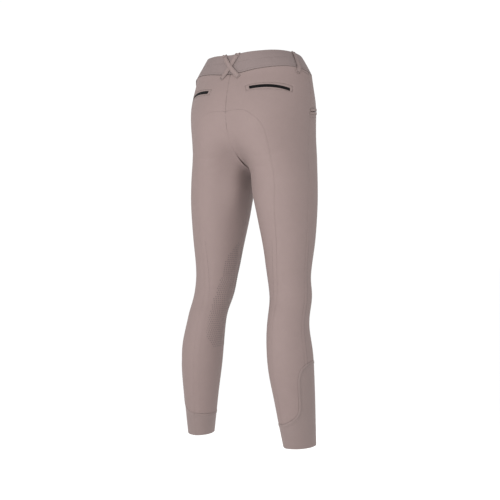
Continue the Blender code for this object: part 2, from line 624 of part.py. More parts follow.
def build_pockets(materials):
    lip_shift = (POCKET_SLIT + POCKET_LIP_HEIGHT) / 2
    for sign, label in SIDES:
        build_trim("back_pocket_zip_" + label, BACK_POCKET, 0.0, BACK_ZIP_HEIGHT, sign, materials["zip_tape"])
        build_trim("front_pocket_lip_upper_" + label, FRONT_POCKET, lip_shift, POCKET_LIP_HEIGHT, sign,
                   materials["stretch_cloth"])
        build_trim("front_pocket_lip_lower_" + label, FRONT_POCKET, -lip_shift, POCKET_LIP_HEIGHT, sign,
                   materials["stretch_cloth"])


def front_point(x, z):
    """The outer surface of the belly at a signed distance from the centre front."""
    offset = math.hypot(x, FORM["rho"](z)) - FORM["cx"](z)
    if offset < 0:
        share, power = -offset / FORM["inner_front"](z), 2.0
    else:
        share, power = offset / FORM["out"](z), FORM["square_front"](z)
    y = FORM["cy"](z) - FORM["front"](z) * (1 - share ** power) ** (1 / power)
    return np.array((x, y, z))


def build_fly(materials):
    """The placket of the fly: a strip over the centre front, its lower corner rounded."""
    top = band_edge(180.0, 1) - FLY_TOP_DROP
    rows = []
    for i in range(FLY_ROWS + 1):
        z = top + (FLY_END_Z - top) * i / FLY_ROWS
        below = max(0.0, (FLY_END_Z + FLY_ROUND - z) / FLY_ROUND)
        width = FLY_WIDTH * (1 - FLY_TAPER * (1 - math.sqrt(1 - min(below, 1.0) ** 2)))
        row = []
        for j in range(FLY_COLUMNS + 1):
            x = FLY_PAST_CENTRE - width * j / FLY_COLUMNS
            left, right = front_point(x - SLOPE_STEP, z), front_point(x + SLOPE_STEP, z)
            rise = front_point(x, z + SLOPE_STEP) - front_point(x, z - SLOPE_STEP)
            normal = np.cross(right - left, rise)
            row.append(front_point(x, z) + normal / np.linalg.norm(normal) * LAID_ON_GAP)
        rows.append(row)
    mesh = grid_mesh("fly_placket", np.array(rows))
    thicken(make_object("fly_placket", mesh, materials["stretch_cloth"]), TRIM_CLOTH, 1.0)


def build_button(materials):
    """A round button on the lapped end of the band, at the centre front."""
    seat = band_point(180.0, 0.5)
    normal = normal_at(band_point, 180.0, 0.5, WAIST_STEP, SHARE_STEP)
    lift = BAND_CLOTH + SEAM_GAP + LAID_ON_GAP + BUTTON_DEPTH / 2
    mesh = bpy.data.meshes.new("waist_button")
    body = bmesh.new()
    bmesh.ops.create_cone(body, cap_ends=True, segments=BUTTON_SIDES, radius1=BUTTON_RADIUS,
                          radius2=BUTTON_RADIUS, depth=BUTTON_DEPTH)
    body.to_mesh(mesh)
    body.free()
    mesh.shade_smooth()
    mesh.set_sharp_from_angle(angle=math.radians(BUTTON_CREASE))
    item = make_object("waist_button", mesh, materials["button"])
    turn = Vector((0.0, 0.0, 1.0)).rotation_difference(Vector(normal)).to_matrix().to_4x4()
    item.matrix_world = Matrix.Translation(Vector(seat + normal * lift)) @ turn
    edge = item.modifiers.new("edge", "BEVEL")
    edge.width = BUTTON_EDGE
    edge.segments = 2
    edge.limit_method = "ANGLE"


clear_scene()
COLLECTION = bpy.data.collections.new(GARMENT)
bpy.context.scene.collection.children.link(COLLECTION)
CLOTHS = {name: make_material(name) for name in MATERIALS}
build_panels(CLOTHS)
build_waistband(CLOTHS)
build_loops(CLOTHS)
build_pockets(CLOTHS)
build_fly(CLOTHS)
build_button(CLOTHS)
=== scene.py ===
import math

import bmesh
import bpy
import numpy as np
from mathutils import Matrix, Vector
from mathutils.geometry import delaunay_2d_cdt
from mathutils.kdtree import KDTree


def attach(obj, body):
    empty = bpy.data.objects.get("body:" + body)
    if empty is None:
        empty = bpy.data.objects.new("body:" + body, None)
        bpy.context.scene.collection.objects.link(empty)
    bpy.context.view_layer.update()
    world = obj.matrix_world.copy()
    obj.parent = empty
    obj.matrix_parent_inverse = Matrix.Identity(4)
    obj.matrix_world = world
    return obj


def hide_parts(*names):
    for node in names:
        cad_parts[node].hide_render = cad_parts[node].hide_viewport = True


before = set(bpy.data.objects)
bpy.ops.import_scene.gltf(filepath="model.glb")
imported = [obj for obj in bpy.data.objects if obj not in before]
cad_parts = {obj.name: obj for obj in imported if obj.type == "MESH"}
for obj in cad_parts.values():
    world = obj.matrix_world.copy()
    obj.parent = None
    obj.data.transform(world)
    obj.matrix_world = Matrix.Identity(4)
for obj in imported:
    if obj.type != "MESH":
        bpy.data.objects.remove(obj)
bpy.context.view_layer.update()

BODY = "root"

# Camera: behind the garment, to the wearer's right, level with the middle of its length
CAMERA_DISTANCE = 2.0
CAMERA_TURN = math.radians(31)  # from straight behind
CAMERA_HEIGHT = -0.4635
IMAGE_SIZE = 500  # pixels
FOCAL_PIXELS = 784.8
SENSOR = 36.0  # mm
AXIS_PIXEL = 253.3  # column of the garment's axis

# Cloth
PANEL_CLOTH = 0.0012
CUFF_CLOTH = 0.0010
BAND_CLOTH = 0.0021
SEAM_GAP = 0.0001
FINE_SPACING = 0.0052  # between the points of a panel
EDGE_SPACING = 0.0036  # and along a seam
RIM_ROWS = (0.0, 0.0007, 0.0017, 0.0034)  # rows of points beside a seam: distance from it
WINDOW_ROWS = (0.0, 0.0007, 0.0018, 0.0036)  # the same beside a pocket's mouth
SLIT_ROWS = (0.0, 0.0008, 0.0015, 0.0023)  # and beside a front pocket's slit
SEAM_ROLL = 0.00013  # how far a seamed edge turns in
DEEP_ROLLS = {"waist": 0.0019, "centre": 0.0005, "side_seam": 0.0004, "cuff_top": 0.0005}
SEAM_ROLL_WIDTH = 0.0028
ALLOWANCE_LIFT = 0.00022  # a seam allowance shows through as a low flat step
SEAT_ALLOWANCE = 0.0135  # its width beside the seam down the back of the leg
SIDE_ALLOWANCE = 0.0100  # and beside the side seam
ALLOWANCE_FROM = -0.340  # height below which the allowances show
ALLOWANCE_FADE = 0.100
STEP_HALF = 0.0009  # half the width of the slope at its edge
CUFF_RIDGE = 0.00085  # height of the turned edge round the top of a cuff
CUFF_RIDGE_WIDTH = 0.0074
CUFF_RIDGE_ROW = 0.0052
CUFF_RIDGE_RISE = 0.0016
ROW_STEP = 0.87  # between rows of points, in spacings: about that of even triangles
KEEP_OFF = 0.62  # inner points keep this many spacings off the rows of a seam
SHARPEST_MITER = 0.35  # holds back the inset at a sharp corner
WELD_FLAT = 1e-7  # points of a filled outline closer than this are one

# Heights, from the middle of the waistband
CROTCH_Z = -0.262
HEM_Z = -0.938
SEAT_TOP_Z = -0.1293
FLY_END_Z = -0.172

# The form: the same stack of level ovals as the solids have.
# cx, cy is the middle of an oval of the left leg; out and inner are its half widths away from and
# towards the other leg, front and back its half depths; rho rounds the place where the halves meet;
# square_front and square_back are the powers of its outer quarters; twist turns it, toes out, degrees.
# Its lengths are in millimetres. The rows below the knee are plain ovals.
FORM_COLUMNS = ("z", "cx", "cy", "out", "inner_front", "inner_back", "front", "back", "rho",
                "square_front", "square_back", "twist")
FORM_UNITS = (1000,) * 9 + (1, 1, 1)
FORM_ROWS = (
    (0, 0, -1, 145, 145, 145, 110, 107, 0, 2, 2, 0),
    (-18, 0, 1, 155.5, 155.5, 155.5, 111, 106.5, 0, 2, 2, 0),
    (-35, 0, 1, 158.5, 158.5, 158.5, 111.5, 108.2, 0, 2, 2, 0),
    (-55, 10, 1, 151, 240, 160, 112.5, 114.2, 6, 2, 2, 0),
    (-80, 24, 0.5, 139.5, 340, 158, 114, 123, 9, 2.05, 2, 0),
    (-105, 37, 0, 127, 360, 143.4, 115, 129.8, 12, 2.15, 2, 0),
    (-130, 48, 0, 114.5, 310, 145, 116.5, 134, 16, 2.2, 1.95, 0),
    (-160, 58, 0, 102.5, 210, 127.4, 116, 133.5, 19, 2.25, 1.88, 0),
    (-190, 67, 0, 92.5, 135, 117.3, 113.5, 127.5, 21, 2.35, 1.82, 0),
    (-215, 74.5, 0, 86, 99, 93.4, 110.5, 118.5, 22, 2.4, 1.82, 0),
    (-240, 81.5, 0, 81, 74.4, 71.7, 106.5, 108, 21, 2.35, 1.9, 0),
    (-262, 87, 0, 78.5, 67, 67, 102.5, 101, 20, 2.2, 1.97, 0),
    (-285, 91.5, 0, 76.5, 70, 70, 98.5, 96.5, 18, 2.1, 2, 0),
    (-310, 94.5, -0.5, 75.5, 74.5, 74.5, 94.5, 94, 15, 2, 2, 0),
    (-340, 96.2, -0.3, 73.8, 73.8, 73.8, 92.2, 92.2, 10, 2, 2, 0),
    (-390, 99.3, 0, 69.5, 69.5, 69.5, 84.7, 84.7, 4, 2, 2, 0),
    (-450, 103.5, 1, 62.1, 62.1, 62.1, 73, 73, 0, 2, 2, 0),
    (-505, 105.2, 3, 55, 55, 55, 61, 64, 0, 2, 2, 0),
    (-538, 107.8, 4.5, 52, 52, 52, 54.5, 60, 0, 2, 2, 1),
    (-565, 111.7, 7, 50.8, 50.8, 50.8, 57, 57.6, 0, 2, 2, 3.5),
) + tuple((z, x, y, wide, wide, wide, deep, deep, 0, 2, 2, twist) for z, x, y, wide, deep, twist in (
    (-590, 115, 13, 49.6, 56.7, 5.5), (-620, 118, 26.5, 48.4, 55.8, 7),
    (-650, 120.2, 35, 48.8, 56.9, 8), (-700, 126.2, 39.5, 51.6, 61.3, 10),
    (-760, 131.3, 38.5, 50.2, 61.5, 12), (-820, 136.6, 33.5, 44.5, 56.7, 13.5),
    (-880, 141, 27.8, 38.8, 51.3, 15.5), (-940, 145.4, 21.6, 33.3, 45.6, 17),
    (-960, 146.8, 19.6, 31.7, 44, 17.5)))

# Angles round a leg are in degrees: 0 is its back, 90 its outer side, 180 its front, 270 its inner
# side. Round the waist 0 is the centre back, 90 the side and 180 the centre front.
SIDE_SEAM = (  # angle, z: from the waistband to the cuff
    (90.0, -0.06), (90.0, -0.11), (90.0, -0.17), (86.5, -0.23), (79.5, -0.3), (76.0, -0.36),
    (74.0, -0.44), (75.5, -0.52), (78.0, -0.6), (80.0, -0.66), (82.0, -0.7368))
SEAT_SEAM = (  # angle, z: over the seat, then down the back of the leg to the cuff
    (0.5, -0.13), (10.0, -0.138), (18.8, -0.1535), (24.2, -0.17), (26.0, -0.188),
    (25.0, -0.212), (19.8, -0.252), (15.5, -0.3), (12.0, -0.35), (8.5, -0.4),
    (5.0, -0.45), (1.5, -0.5), (-2.0, -0.55), (-4.5, -0.6), (-4.8, -0.65),
    (-4.0, -0.7), (-2.5, -0.76), (-0.5, -0.82), (0.0, -0.878))
INSEAM = (  # angle, z: from the crotch to the cuff
    (270.0, CROTCH_Z), (269.0, -0.31), (267.0, -0.4), (265.0, -0.5), (264.0, -0.6),
    (265.0, -0.7), (267.0, -0.8), (268.0, -0.882))
CUFF_EDGE_OUTER_BACK = (  # angle, z: from the seat seam to the side seam, up the tongue
    (0.0, -0.878), (12.0, -0.8755), (24.0, -0.872), (40.0, -0.8642), (50.0, -0.857),
    (56.5, -0.848), (59.0, -0.837), (59.3, -0.82), (59.6, -0.8), (60.3, -0.78),
    (62.5, -0.7625), (67.0, -0.751), (74.0, -0.742), (82.0, -0.7368))
CUFF_EDGE_FRONT = (  # angle, z: from the side seam over the tongue and round to the inseam
    (82.0, -0.7368), (92.0, -0.7325), (104.0, -0.7298), (116.0, -0.7292), (128.0, -0.7298),
    (140.0, -0.7325), (150.0, -0.7368), (158.0, -0.742), (165.0, -0.751), (169.5, -0.7625),
    (171.7, -0.78), (172.4, -0.8), (172.7, -0.82), (173.0, -0.837), (175.5, -0.848),
    (182.0, -0.857), (192.0, -0.8642), (208.0, -0.872), (228.0, -0.877), (248.0, -0.8805),
    (268.0, -0.882))
CUFF_EDGE_INNER_BACK = (  # angle, z: from the inseam to the seat seam
    (-92.0, -0.882), (-70.0, -0.8825), (-45.0, -0.8812), (-20.0, -0.8792), (0.0, -0.878))

# The waistband, a cone between the seam and its top edge. The heights are those of both edges.
BAND_EDGES = (  # angle, seam z, top z
    (0.0, -0.036, 0.0108), (10.0, -0.0345, 0.0125), (20.0, -0.03, 0.0152),
    (30.0, -0.0262, 0.0172), (45.0, -0.0225, 0.0202), (60.0, -0.0208, 0.0222),
    (75.0, -0.0238, 0.0223), (90.0, -0.0282, 0.0215), (105.0, -0.0306, 0.0203),
    (120.0, -0.032, 0.019), (150.0, -0.0338, 0.016), (180.0, -0.0345, 0.0145))
BAND_TOP_Y = -0.0087  # middle of the top edge
BAND_TOP_WIDTH = 0.1246  # half widths of the top edge
BAND_TOP_BACK = 0.1143
BAND_TOP_FRONT = 0.1080
BAND_OVERLAP = 11.0  # degrees each end runs past the centre front
BAND_RAMP = 14.0  # degrees in which the upper end rises off the lower one
BAND_COLUMNS = 320
BAND_PROFILE = 22  # steps up the outer face
BAND_SWELL = 0.0007
BAND_ALLOWANCE = 0.0006  # its seam allowance: thickness, depth behind the outer face, drop
BAND_ALLOWANCE_IN = 0.0027
BAND_ALLOWANCE_DOWN = 0.0050
BAND_STITCH_LOW = 0.0045  # sewn line above the seam
BAND_STITCH_HIGH = 0.0200  # sewn line below the top edge
BAND_STITCH_SINK = 0.0006
BAND_STITCH_HALF = 0.0011
BAND_RIPPLE = 0.00012

# Loops, pockets, fly and button
LAID_ON_GAP = 0.0001
LOOP_WIDTH = 0.0113
LOOP_CLOTH = 0.0014
LOOP_RISE = 0.0016
LOOP_CORNER = 0.0005
LOOP_STEPS = 40
LOOP_SEWN = 0.22
LOOP_TOP_DROP = 0.0015
LOOP_FOLD_ROWS = 9  # steps over the band's top edge
LOOP_FOLD_TAIL = 0.0080  # end inside the band
CROSS_TAIL = 0.0115
STRAIGHT_TAIL = 0.0145
CROSS_REACH = 0.0195
CROSS_LIFT = 0.0034
STRAIGHT_LOOPS = (("side", 78.5, 69.5), ("front", 141.0, 141.0))  # angles of the top and the foot
BACK_POCKET = ((15.5, -0.0760), (30.0, -0.0729), (44.0, -0.0745), (58.0, -0.0808))
BACK_MOUTH = 0.0078  # height of the open slot over the zip
WINDOW_SPACING = 0.0022
WINDOW_CORNER = 0.0004
ZIP_DEPTH = 0.0001  # the zip tape lies this far behind the cloth
ZIP_MARGIN = 0.004
COIL_PITCH = 0.0013
COIL_WIDTH = 0.0036
COIL_RADIUS = 0.0005
COIL_LIFT = 0.0007
FRONT_POCKET = ((90.0, -0.1255), (104.0, -0.1205), (118.0, -0.1165), (132.0, -0.1130), (143.0, -0.1110))
SLIT_START = 1.2  # degrees in from the lips' end
SLIT_SINK = 0.0038  # depth and half width of the opening
SLIT_HALF = 0.0011
LIP_HEIGHT = 0.0062
LIP_CLOTH = 0.0014
LIP_CORNER = 0.0006
POCKET_SLIT = 0.0020
FLY_WIDTH = 0.034
FLY_PAST_CENTRE = 0.004
FLY_TOP_DROP = 0.0006
FLY_ROUND = 0.030
FLY_TAPER = 0.75
FLY_ROWS = 60
FLY_COLUMNS = 14
FLY_CLOTH = 0.0012
FLY_ROLL = 0.0007
FLY_ROLL_WIDTH = 0.0022
FLY_STITCH = 0.028  # from the placket's folded edge
BUTTON_SIDES = 48
BUTTON_PROFILE = ((0.0066, 0.0), (0.0080, 0.0005), (0.0085, 0.0012), (0.0084, 0.0021),
                  (0.0077, 0.0028), (0.0066, 0.0029), (0.0057, 0.0023), (0.0048, 0.0020))
BUTTON_HOLE = 0.0008  # radius of a thread hole
BUTTON_HOLE_AT = 0.0015  # its middle, from the button's own along x and y

# Sewing: each visible stitch is a short raised piece of thread
STITCH_LENGTH = 0.0026
STITCH_PITCH = 0.0034
STITCH_RADIUS = 0.00021
STITCH_LIFT = 0.00006  # of a stitch's middle off the cloth
STITCH_FINE = 0.0012  # between the points of a line that is sewn along
ALLOWANCE_SEWN = 0.0013  # sewn lines, in from the edge of what they hold down
SEWN_SINK = 0.00090  # depth and half width of the groove that a sewn line draws in
SEWN_HALF = 0.0010
SEWN_ROWS = (0.0, 0.0009, 0.0020)  # rows of points along it
CUFF_SEWN = 0.0012
TACK_PITCH = 0.00065  # between the stitches of a bar tack
TACK_LENGTH = 0.0019
TACK_RADIUS = 0.00026
TACK_AT = (0.0022, -0.0030)  # from the foot of a loop and from its top
LOOP_STITCH_EDGE = 0.0017  # from a loop's edge to its sewn line
POCKET_FRAME = (  # angle, z: sewn line round a back pocket's mouth
    ((11.9, -0.0712), (20.0, -0.0672), (35.0, -0.0649), (50.0, -0.0668), (61.0, -0.0722)),
    ((61.0, -0.0722), (61.0, -0.0862)),
    ((61.0, -0.0862), (48.0, -0.0829), (35.0, -0.0812), (22.0, -0.0814), (11.9, -0.083)),
    ((11.9, -0.083), (11.9, -0.0712)))
FRONT_FRAME_ABOVE = 0.0086  # sewn lines above and below a front pocket's slit
FRONT_FRAME_BELOW = 0.0146

# Grip print inside the knees: low dots in staggered rows
DOT_PITCH = 0.0060
DOT_RADIUS = 0.0017
DOT_HEIGHT = 0.00034
DOT_SIDES = 8
DOT_CLEAR = 0.0045  # from the inseam
GRIP_BACK_EDGE = (  # angle, z: its back boundary; the front one mirrors it
    (-89.5, -0.438), (-65.0, -0.471), (-54.0, -0.494), (-51.6, -0.527), (-38.0, -0.565),
    (-32.0, -0.5905), (-33.0, -0.62), (-29.5, -0.64), (-26.7, -0.665), (-34.6, -0.682),
    (-48.7, -0.698), (-62.0, -0.712), (-79.0, -0.712), (-89.5, -0.712))

# Soft relief along lines
TRACK_SPACING = 0.0008  # between the places that distances to a line are taken from
TRACK_CLEAR = 0.0011  # rows beside a line keep this far off the outline's rows
HOLLOW_DEPTH = 0.0030  # soft troughs on both sides of the lower centre seam
HOLLOW_NEAR = 0.0060  # distances from it within which they start and end
HOLLOW_FAR = 0.028
HOLLOW_FROM = -0.160
HOLLOW_FADE = 0.065
HOLLOW_END = 0.040  # height above the crotch over which they end
FOLD_LIFT = 0.0016  # the pressed ridge down the back of calf and cuff
FOLD_WIDTH = 0.015
FOLD_FROM = -0.540
FOLD_FADE = 0.120

LEFT, RIGHT = 1, -1
SIDES = ((LEFT, "left"), (RIGHT, "right"))
UP = np.array((0.0, 0.0, 1.0))
FULL_TURN = np.array((2 * math.pi, 0.0))
WAIST_STEP = 0.5  # degrees, for a slope round the waist
SHARE_STEP = 0.02
NORMAL_STEP = 0.002  # radians
FLAT_RADIUS = 0.06  # metres for a radian where seam tables are laid out flat
CLOTH_LAYER = "cloth"

# Creases: soft troughs (depth above 0) and ridges (below 0), each round its middle on one leg:
# side, angle, z, tilt in degrees from level, half length, half width, depth, curve of its line in 1/m
CREASES = (
    (LEFT, 16, -0.236, 12, 0.046, 0.008, 0.0012, 2.2),  # under the seat
    (RIGHT, 14, -0.238, 10, 0.044, 0.0085, 0.0013, 2.0),
    (LEFT, -16, -0.262, -24, 0.03, 0.0065, 0.0008, 1.5),
    (RIGHT, -18, -0.26, -20, 0.032, 0.0065, 0.0009, 1.5),
    (LEFT, -4, -0.542, 6, 0.03, 0.0052, 0.0009, -3.0),  # hollow of the knee
    (LEFT, 4, -0.564, -5, 0.034, 0.0056, 0.0011, -3.4),
    (LEFT, -10, -0.588, 8, 0.026, 0.005, 0.0007, -3.0),
    (RIGHT, -6, -0.545, -7, 0.031, 0.0052, 0.001, -3.0),
    (RIGHT, 2, -0.566, 5, 0.033, 0.0055, 0.001, -3.4),
    (RIGHT, -2, -0.59, -6, 0.025, 0.005, 0.0008, -3.0),
    (LEFT, 232, -0.228, 36, 0.04, 0.0075, 0.0014, 1.0),  # from the crotch over the front
    (RIGHT, 230, -0.23, 34, 0.042, 0.0078, 0.0014, 1.0),
    (LEFT, 226, -0.262, 26, 0.034, 0.007, 0.001, 1.0),
    (RIGHT, 224, -0.264, 28, 0.033, 0.007, 0.0011, 1.0),
    (LEFT, 262, -0.305, 14, 0.03, 0.007, 0.0009, 0.0),  # inside of the thigh
    (RIGHT, 260, -0.3, 12, 0.028, 0.007, 0.0009, 0.0),
    (LEFT, -62, -0.29, 90, 0.072, 0.029, -0.0085, 0.0),  # full inner back of the thigh
    (RIGHT, -58, -0.29, 90, 0.066, 0.027, -0.0032, 0.0),
    (LEFT, 186, -0.524, 4, 0.026, 0.006, -0.0007, 2.0),  # over the knee
    (RIGHT, 184, -0.525, -4, 0.026, 0.006, -0.0007, 2.0),
    (LEFT, 190, -0.59, -6, 0.028, 0.006, 0.0007, 2.4),
    (RIGHT, 188, -0.592, 6, 0.028, 0.006, 0.0007, 2.4),
    (LEFT, 176, -0.882, 5, 0.024, 0.0045, 0.0007, -3.0),  # front of the ankle
    (RIGHT, 178, -0.884, -5, 0.024, 0.0045, 0.0007, -3.0),
    (LEFT, 182, -0.904, -4, 0.022, 0.0042, 0.0006, -3.0),
    (RIGHT, 180, -0.906, 4, 0.022, 0.0042, 0.0006, -3.0),
    (LEFT, 8, -0.893, 6, 0.02, 0.0045, 0.0005, 3.0),  # above the heel
    (RIGHT, 6, -0.895, -6, 0.02, 0.0045, 0.0005, 3.0),
)
CREASE_REACH = 0.045  # metres off the plane of its middle within which a crease acts

# Cloths: the dark and light tone of their yarns (the cuff's darkened further as painted shade),
# roughness, wale and course pitch (m), height of the knit (m), sheen
CLOTHS = {
    "stretch_cloth": ((0.195, 0.146, 0.137), (0.226, 0.170, 0.161), 0.72, 0.00080, 0.00062, 0.00006, 0.06),
    "band_cloth": ((0.168, 0.131, 0.126), (0.194, 0.152, 0.147), 0.76, 0.00110, 0.00090, 0.00009, 0.05),
    # the cuff's tones are about 7 % darker than the stretch cloth's: painted shade for the dimmer light
    # round the lower legs
    "cuff_cloth": ((0.181, 0.138, 0.130), (0.207, 0.158, 0.149), 0.66, 0.00060, 0.00060, 0.00004, 0.09),
    "loop_cloth": ((0.188, 0.143, 0.135), (0.218, 0.166, 0.157), 0.72, 0.00080, 0.00062, 0.00006, 0.06)}
SHEEN_TINT = (0.86, 0.76, 0.73, 1.0)
FLOOR_Z = -1.30
FLOOR_REACH = 45.0
FLOOR_TONE = 0.985
WORLD_STRENGTH = 1.035
LIGHTS = (  # name, degrees from straight behind, height, distance, size, watts
    ("key", 8.0, 0.15, 1.1, 0.9, 8.4), ("top", 25.0, 0.50, 1.1, 0.9, 1.2),
    ("front", 205.0, 0.40, 1.5, 1.0, 9.0))


# Curves and the outer surface

class Spline:
    """A smooth curve y(x) through knots of rising x, without end curvature."""

    def __init__(self, x, y):
        self.x, self.y = np.asarray(x, float), np.asarray(y, float)
        self.h = h = np.diff(self.x)
        slopes = np.diff(self.y) / h
        rows, rhs = np.eye(len(self.x)), np.zeros(len(self.x))
        for i in range(1, len(h)):
            rows[i, i - 1:i + 2] = h[i - 1], 2 * (h[i - 1] + h[i]), h[i]
            rhs[i] = 6 * (slopes[i] - slopes[i - 1])
        self.bend = np.linalg.solve(rows, rhs)

    def __call__(self, x):
        x = np.asarray(x, float)
        i = np.clip(np.searchsorted(self.x, x) - 1, 0, len(self.h) - 1)
        h, after, before = self.h[i], x - self.x[i], self.x[i + 1] - x
        curve = (self.bend[i] * before ** 3 + self.bend[i + 1] * after ** 3) / (6 * h)
        left = (self.y[i] / h - self.bend[i] * h / 6) * before
        return curve + left + (self.y[i + 1] / h - self.bend[i + 1] * h / 6) * after


def unit(vectors):
    return vectors / np.linalg.norm(vectors, axis=-1, keepdims=True)


def run_of(points):
    """The distance along a line at each of its points."""
    return np.concatenate(([0.0], np.cumsum(np.linalg.norm(np.diff(points, axis=0), axis=1))))


def at_runs(at, run, values):
    """Values along a line, at these distances."""
    return np.stack([np.interp(at, run, values[:, k]) for k in range(values.shape[1])], axis=-1)


def matched(first, second):
    return np.broadcast_arrays(np.asarray(first, float), np.asarray(second, float))


def smoothstep(value):
    value = np.clip(value, 0.0, 1.0)
    return value * value * (3 - 2 * value)


def bell(distance, width, power=2):
    return np.exp(-(distance / width) ** power)


def smooth_path(rows, samples=400):
    """A fine polyline through (angle, z) rows, as arrays of radians and metres."""
    points = np.array([(math.radians(angle) * FLAT_RADIUS, z) for angle, z in rows])
    run = run_of(points)
    at = np.linspace(0.0, run[-1], samples)
    return np.stack((Spline(run, points[:, 0])(at) / FLAT_RADIUS, Spline(run, points[:, 1])(at)), axis=1)


FORM_TABLE = np.array(FORM_ROWS[::-1]) / FORM_UNITS
FORM = {column: Spline(FORM_TABLE[:, 0], FORM_TABLE[:, place]) for place, column in enumerate(FORM_COLUMNS)}
BAND_CURVES = {column: Spline([row[0] for row in BAND_EDGES], [row[column] for row in BAND_EDGES])
               for column in (1, 2)}


def oval(z, to_back, to_out):
    """The measures of the left leg's oval at a height, and those of the quarters that hold a point."""
    size = {column: FORM[column](z) for column in FORM_COLUMNS[1:]}
    width = np.where(to_out, size["out"], np.where(to_back, size["inner_back"], size["inner_front"]))
    depth = np.where(to_back, size["back"], size["front"])
    power = np.where(to_out, np.where(to_back, size["square_back"], size["square_front"]), 2.0)
    return size, width, depth, power


def leg_point(angle, z):
    """The point at an angle round the left leg, in radians, and a height, as if it stood alone."""
    sine, cosine = np.sin(angle), np.cos(angle)
    size, width, depth, power = oval(z, cosine > 0, sine > 0)
    across = width * np.sign(sine) * np.abs(sine) ** (2 / power)
    along = depth * np.sign(cosine) * np.abs(cosine) ** (2 / power)
    turn = np.radians(size["twist"])
    x = size["cx"] + across * np.cos(turn) - along * np.sin(turn)
    y = size["cy"] + across * np.sin(turn) + along * np.cos(turn)
    return np.stack(np.broadcast_arrays(x, y, z), axis=-1)


def skin(angle, z, side=LEFT):
    """The point of the outer surface, where the two legs run smoothly into each other."""
    point = leg_point(angle, z)
    x = np.sqrt(np.maximum(point[..., 0] ** 2 - FORM["rho"](z) ** 2, 0.0))
    return np.stack((x * side, point[..., 1], point[..., 2]), axis=-1)


def normal_at(surface, u, v, step_u, step_v):
    """The outward unit normals of surface(u, v) by differences; u runs clockwise seen from above."""
    du = surface(u + step_u, v) - surface(u - step_u, v)
    dv = surface(u, v + step_v) - surface(u, v - step_v)
    return unit(np.cross(dv, du))


def skin_normal(angle, z, side=LEFT):
    """The outward unit normal of skin(), which has no sideways part on the centre plane."""
    alone = leg_point(angle, z)[..., 0]
    x, y, rise = np.moveaxis(normal_at(leg_point, angle, z, NORMAL_STEP, NORMAL_STEP / 4), -1, 0)
    rho = FORM["rho"](z)
    rho_slope = (FORM["rho"](z + NORMAL_STEP) - FORM["rho"](z - NORMAL_STEP)) / (2 * NORMAL_STEP)
    joined_x = np.sqrt(np.maximum(alone ** 2 - rho ** 2, 0.0))
    return unit(np.stack((x * side * joined_x / alone, y, rise + x * rho * rho_slope / alone), axis=-1))


def centre_angle(z, at_back):
    """The angle at which the surface meets the other half, above the crotch."""
    inner = FORM["inner_back" if at_back else "inner_front"](z)
    reach = np.arcsin(np.minimum((FORM["cx"](z) - FORM["rho"](z)) / inner, 1.0))
    return -reach if at_back else math.pi + reach


def turn_from_back(angle):
    """Degrees from the centre back, 0 to 180, whichever way round."""
    turn = np.abs(angle)
    return np.where(turn > 180, 360 - turn, turn)


def band_edge(angle, column):
    """The height of the band's seam (1) or top (2) edge at a waist angle in degrees."""
    return BAND_CURVES[column](turn_from_back(angle))


def band_height(angle):
    return band_edge(angle, 2) - band_edge(angle, 1)


def leg_angle_of(angle, z):
    """The leg angle, in radians, at 0 to 180 degrees from the centre back."""
    share = angle / 90
    back = centre_angle(z, True) * (1 - share) + math.pi / 2 * share
    front = math.pi / 2 * (2 - share) + centre_angle(z, False) * (share - 1)
    return np.where(share < 1, back, front)


def torso_point(angle, z):
    """The outer surface at a waist angle in degrees, negative on the wearer's right, and a height."""
    angle, z = matched(angle, z)
    side = np.where(angle >= 0, LEFT, RIGHT) * np.where(np.abs(angle) > 180, -1, 1)
    return skin(leg_angle_of(turn_from_back(angle), z), z, side)


def band_point(angle, share):
    """The band's outer surface, from its seam (share 0) to its top edge (share 1)."""
    angle, share = matched(angle, share)
    low = torso_point(angle, band_edge(angle, 1))
    radians = np.radians(angle)
    depth = np.where(np.cos(radians) > 0, BAND_TOP_BACK, BAND_TOP_FRONT)
    high = np.stack((BAND_TOP_WIDTH * np.sin(radians), BAND_TOP_Y + depth * np.cos(radians),
                     band_edge(angle, 2)), axis=-1)
    return low * (1 - share[..., None]) + high * share[..., None]


def waist_point(angle, z):
    """The outer surface of the band or, below its seam, of the panels."""
    seam = band_edge(angle, 1)
    share = (z - seam) / band_height(angle)
    return np.where((z >= seam)[..., None], band_point(angle, np.clip(share, 0, 1.2)),
                    torso_point(angle, np.minimum(z, seam)))


# The surface laid out flat: distances along level lines, from the outer side of the leg

LEVEL_STEP, LEVEL_COUNT = 0.002, 481
TURN_FIRST, TURN_STEP, TURN_COUNT = math.radians(-110), math.radians(1), 581
TURNS = TURN_FIRST + TURN_STEP * np.arange(TURN_COUNT)
LEVELS = -LEVEL_STEP * np.arange(LEVEL_COUNT)
ARCS = np.array([run_of(line) for line in skin(TURNS[None, :], LEVELS[:, None])])
ARCS -= ARCS[:, [round((math.pi / 2 - TURN_FIRST) / TURN_STEP)]]


def arc_at(angle, z):
    """The distance along the level line from the leg's outer side to an angle."""
    row = np.clip(-z / LEVEL_STEP, 0, LEVEL_COUNT - 1.001)
    column = np.clip((angle - TURN_FIRST) / TURN_STEP, 0, TURN_COUNT - 1.001)
    i, j = row.astype(int), column.astype(int)
    down, along = row - i, column - j
    near, far = [ARCS[k, j] * (1 - along) + ARCS[k, j + 1] * along for k in (i, i + 1)]
    return near * (1 - down) + far * down


def laid_flat(outline):
    return np.stack((arc_at(*outline.T), outline[:, 1]), axis=1)


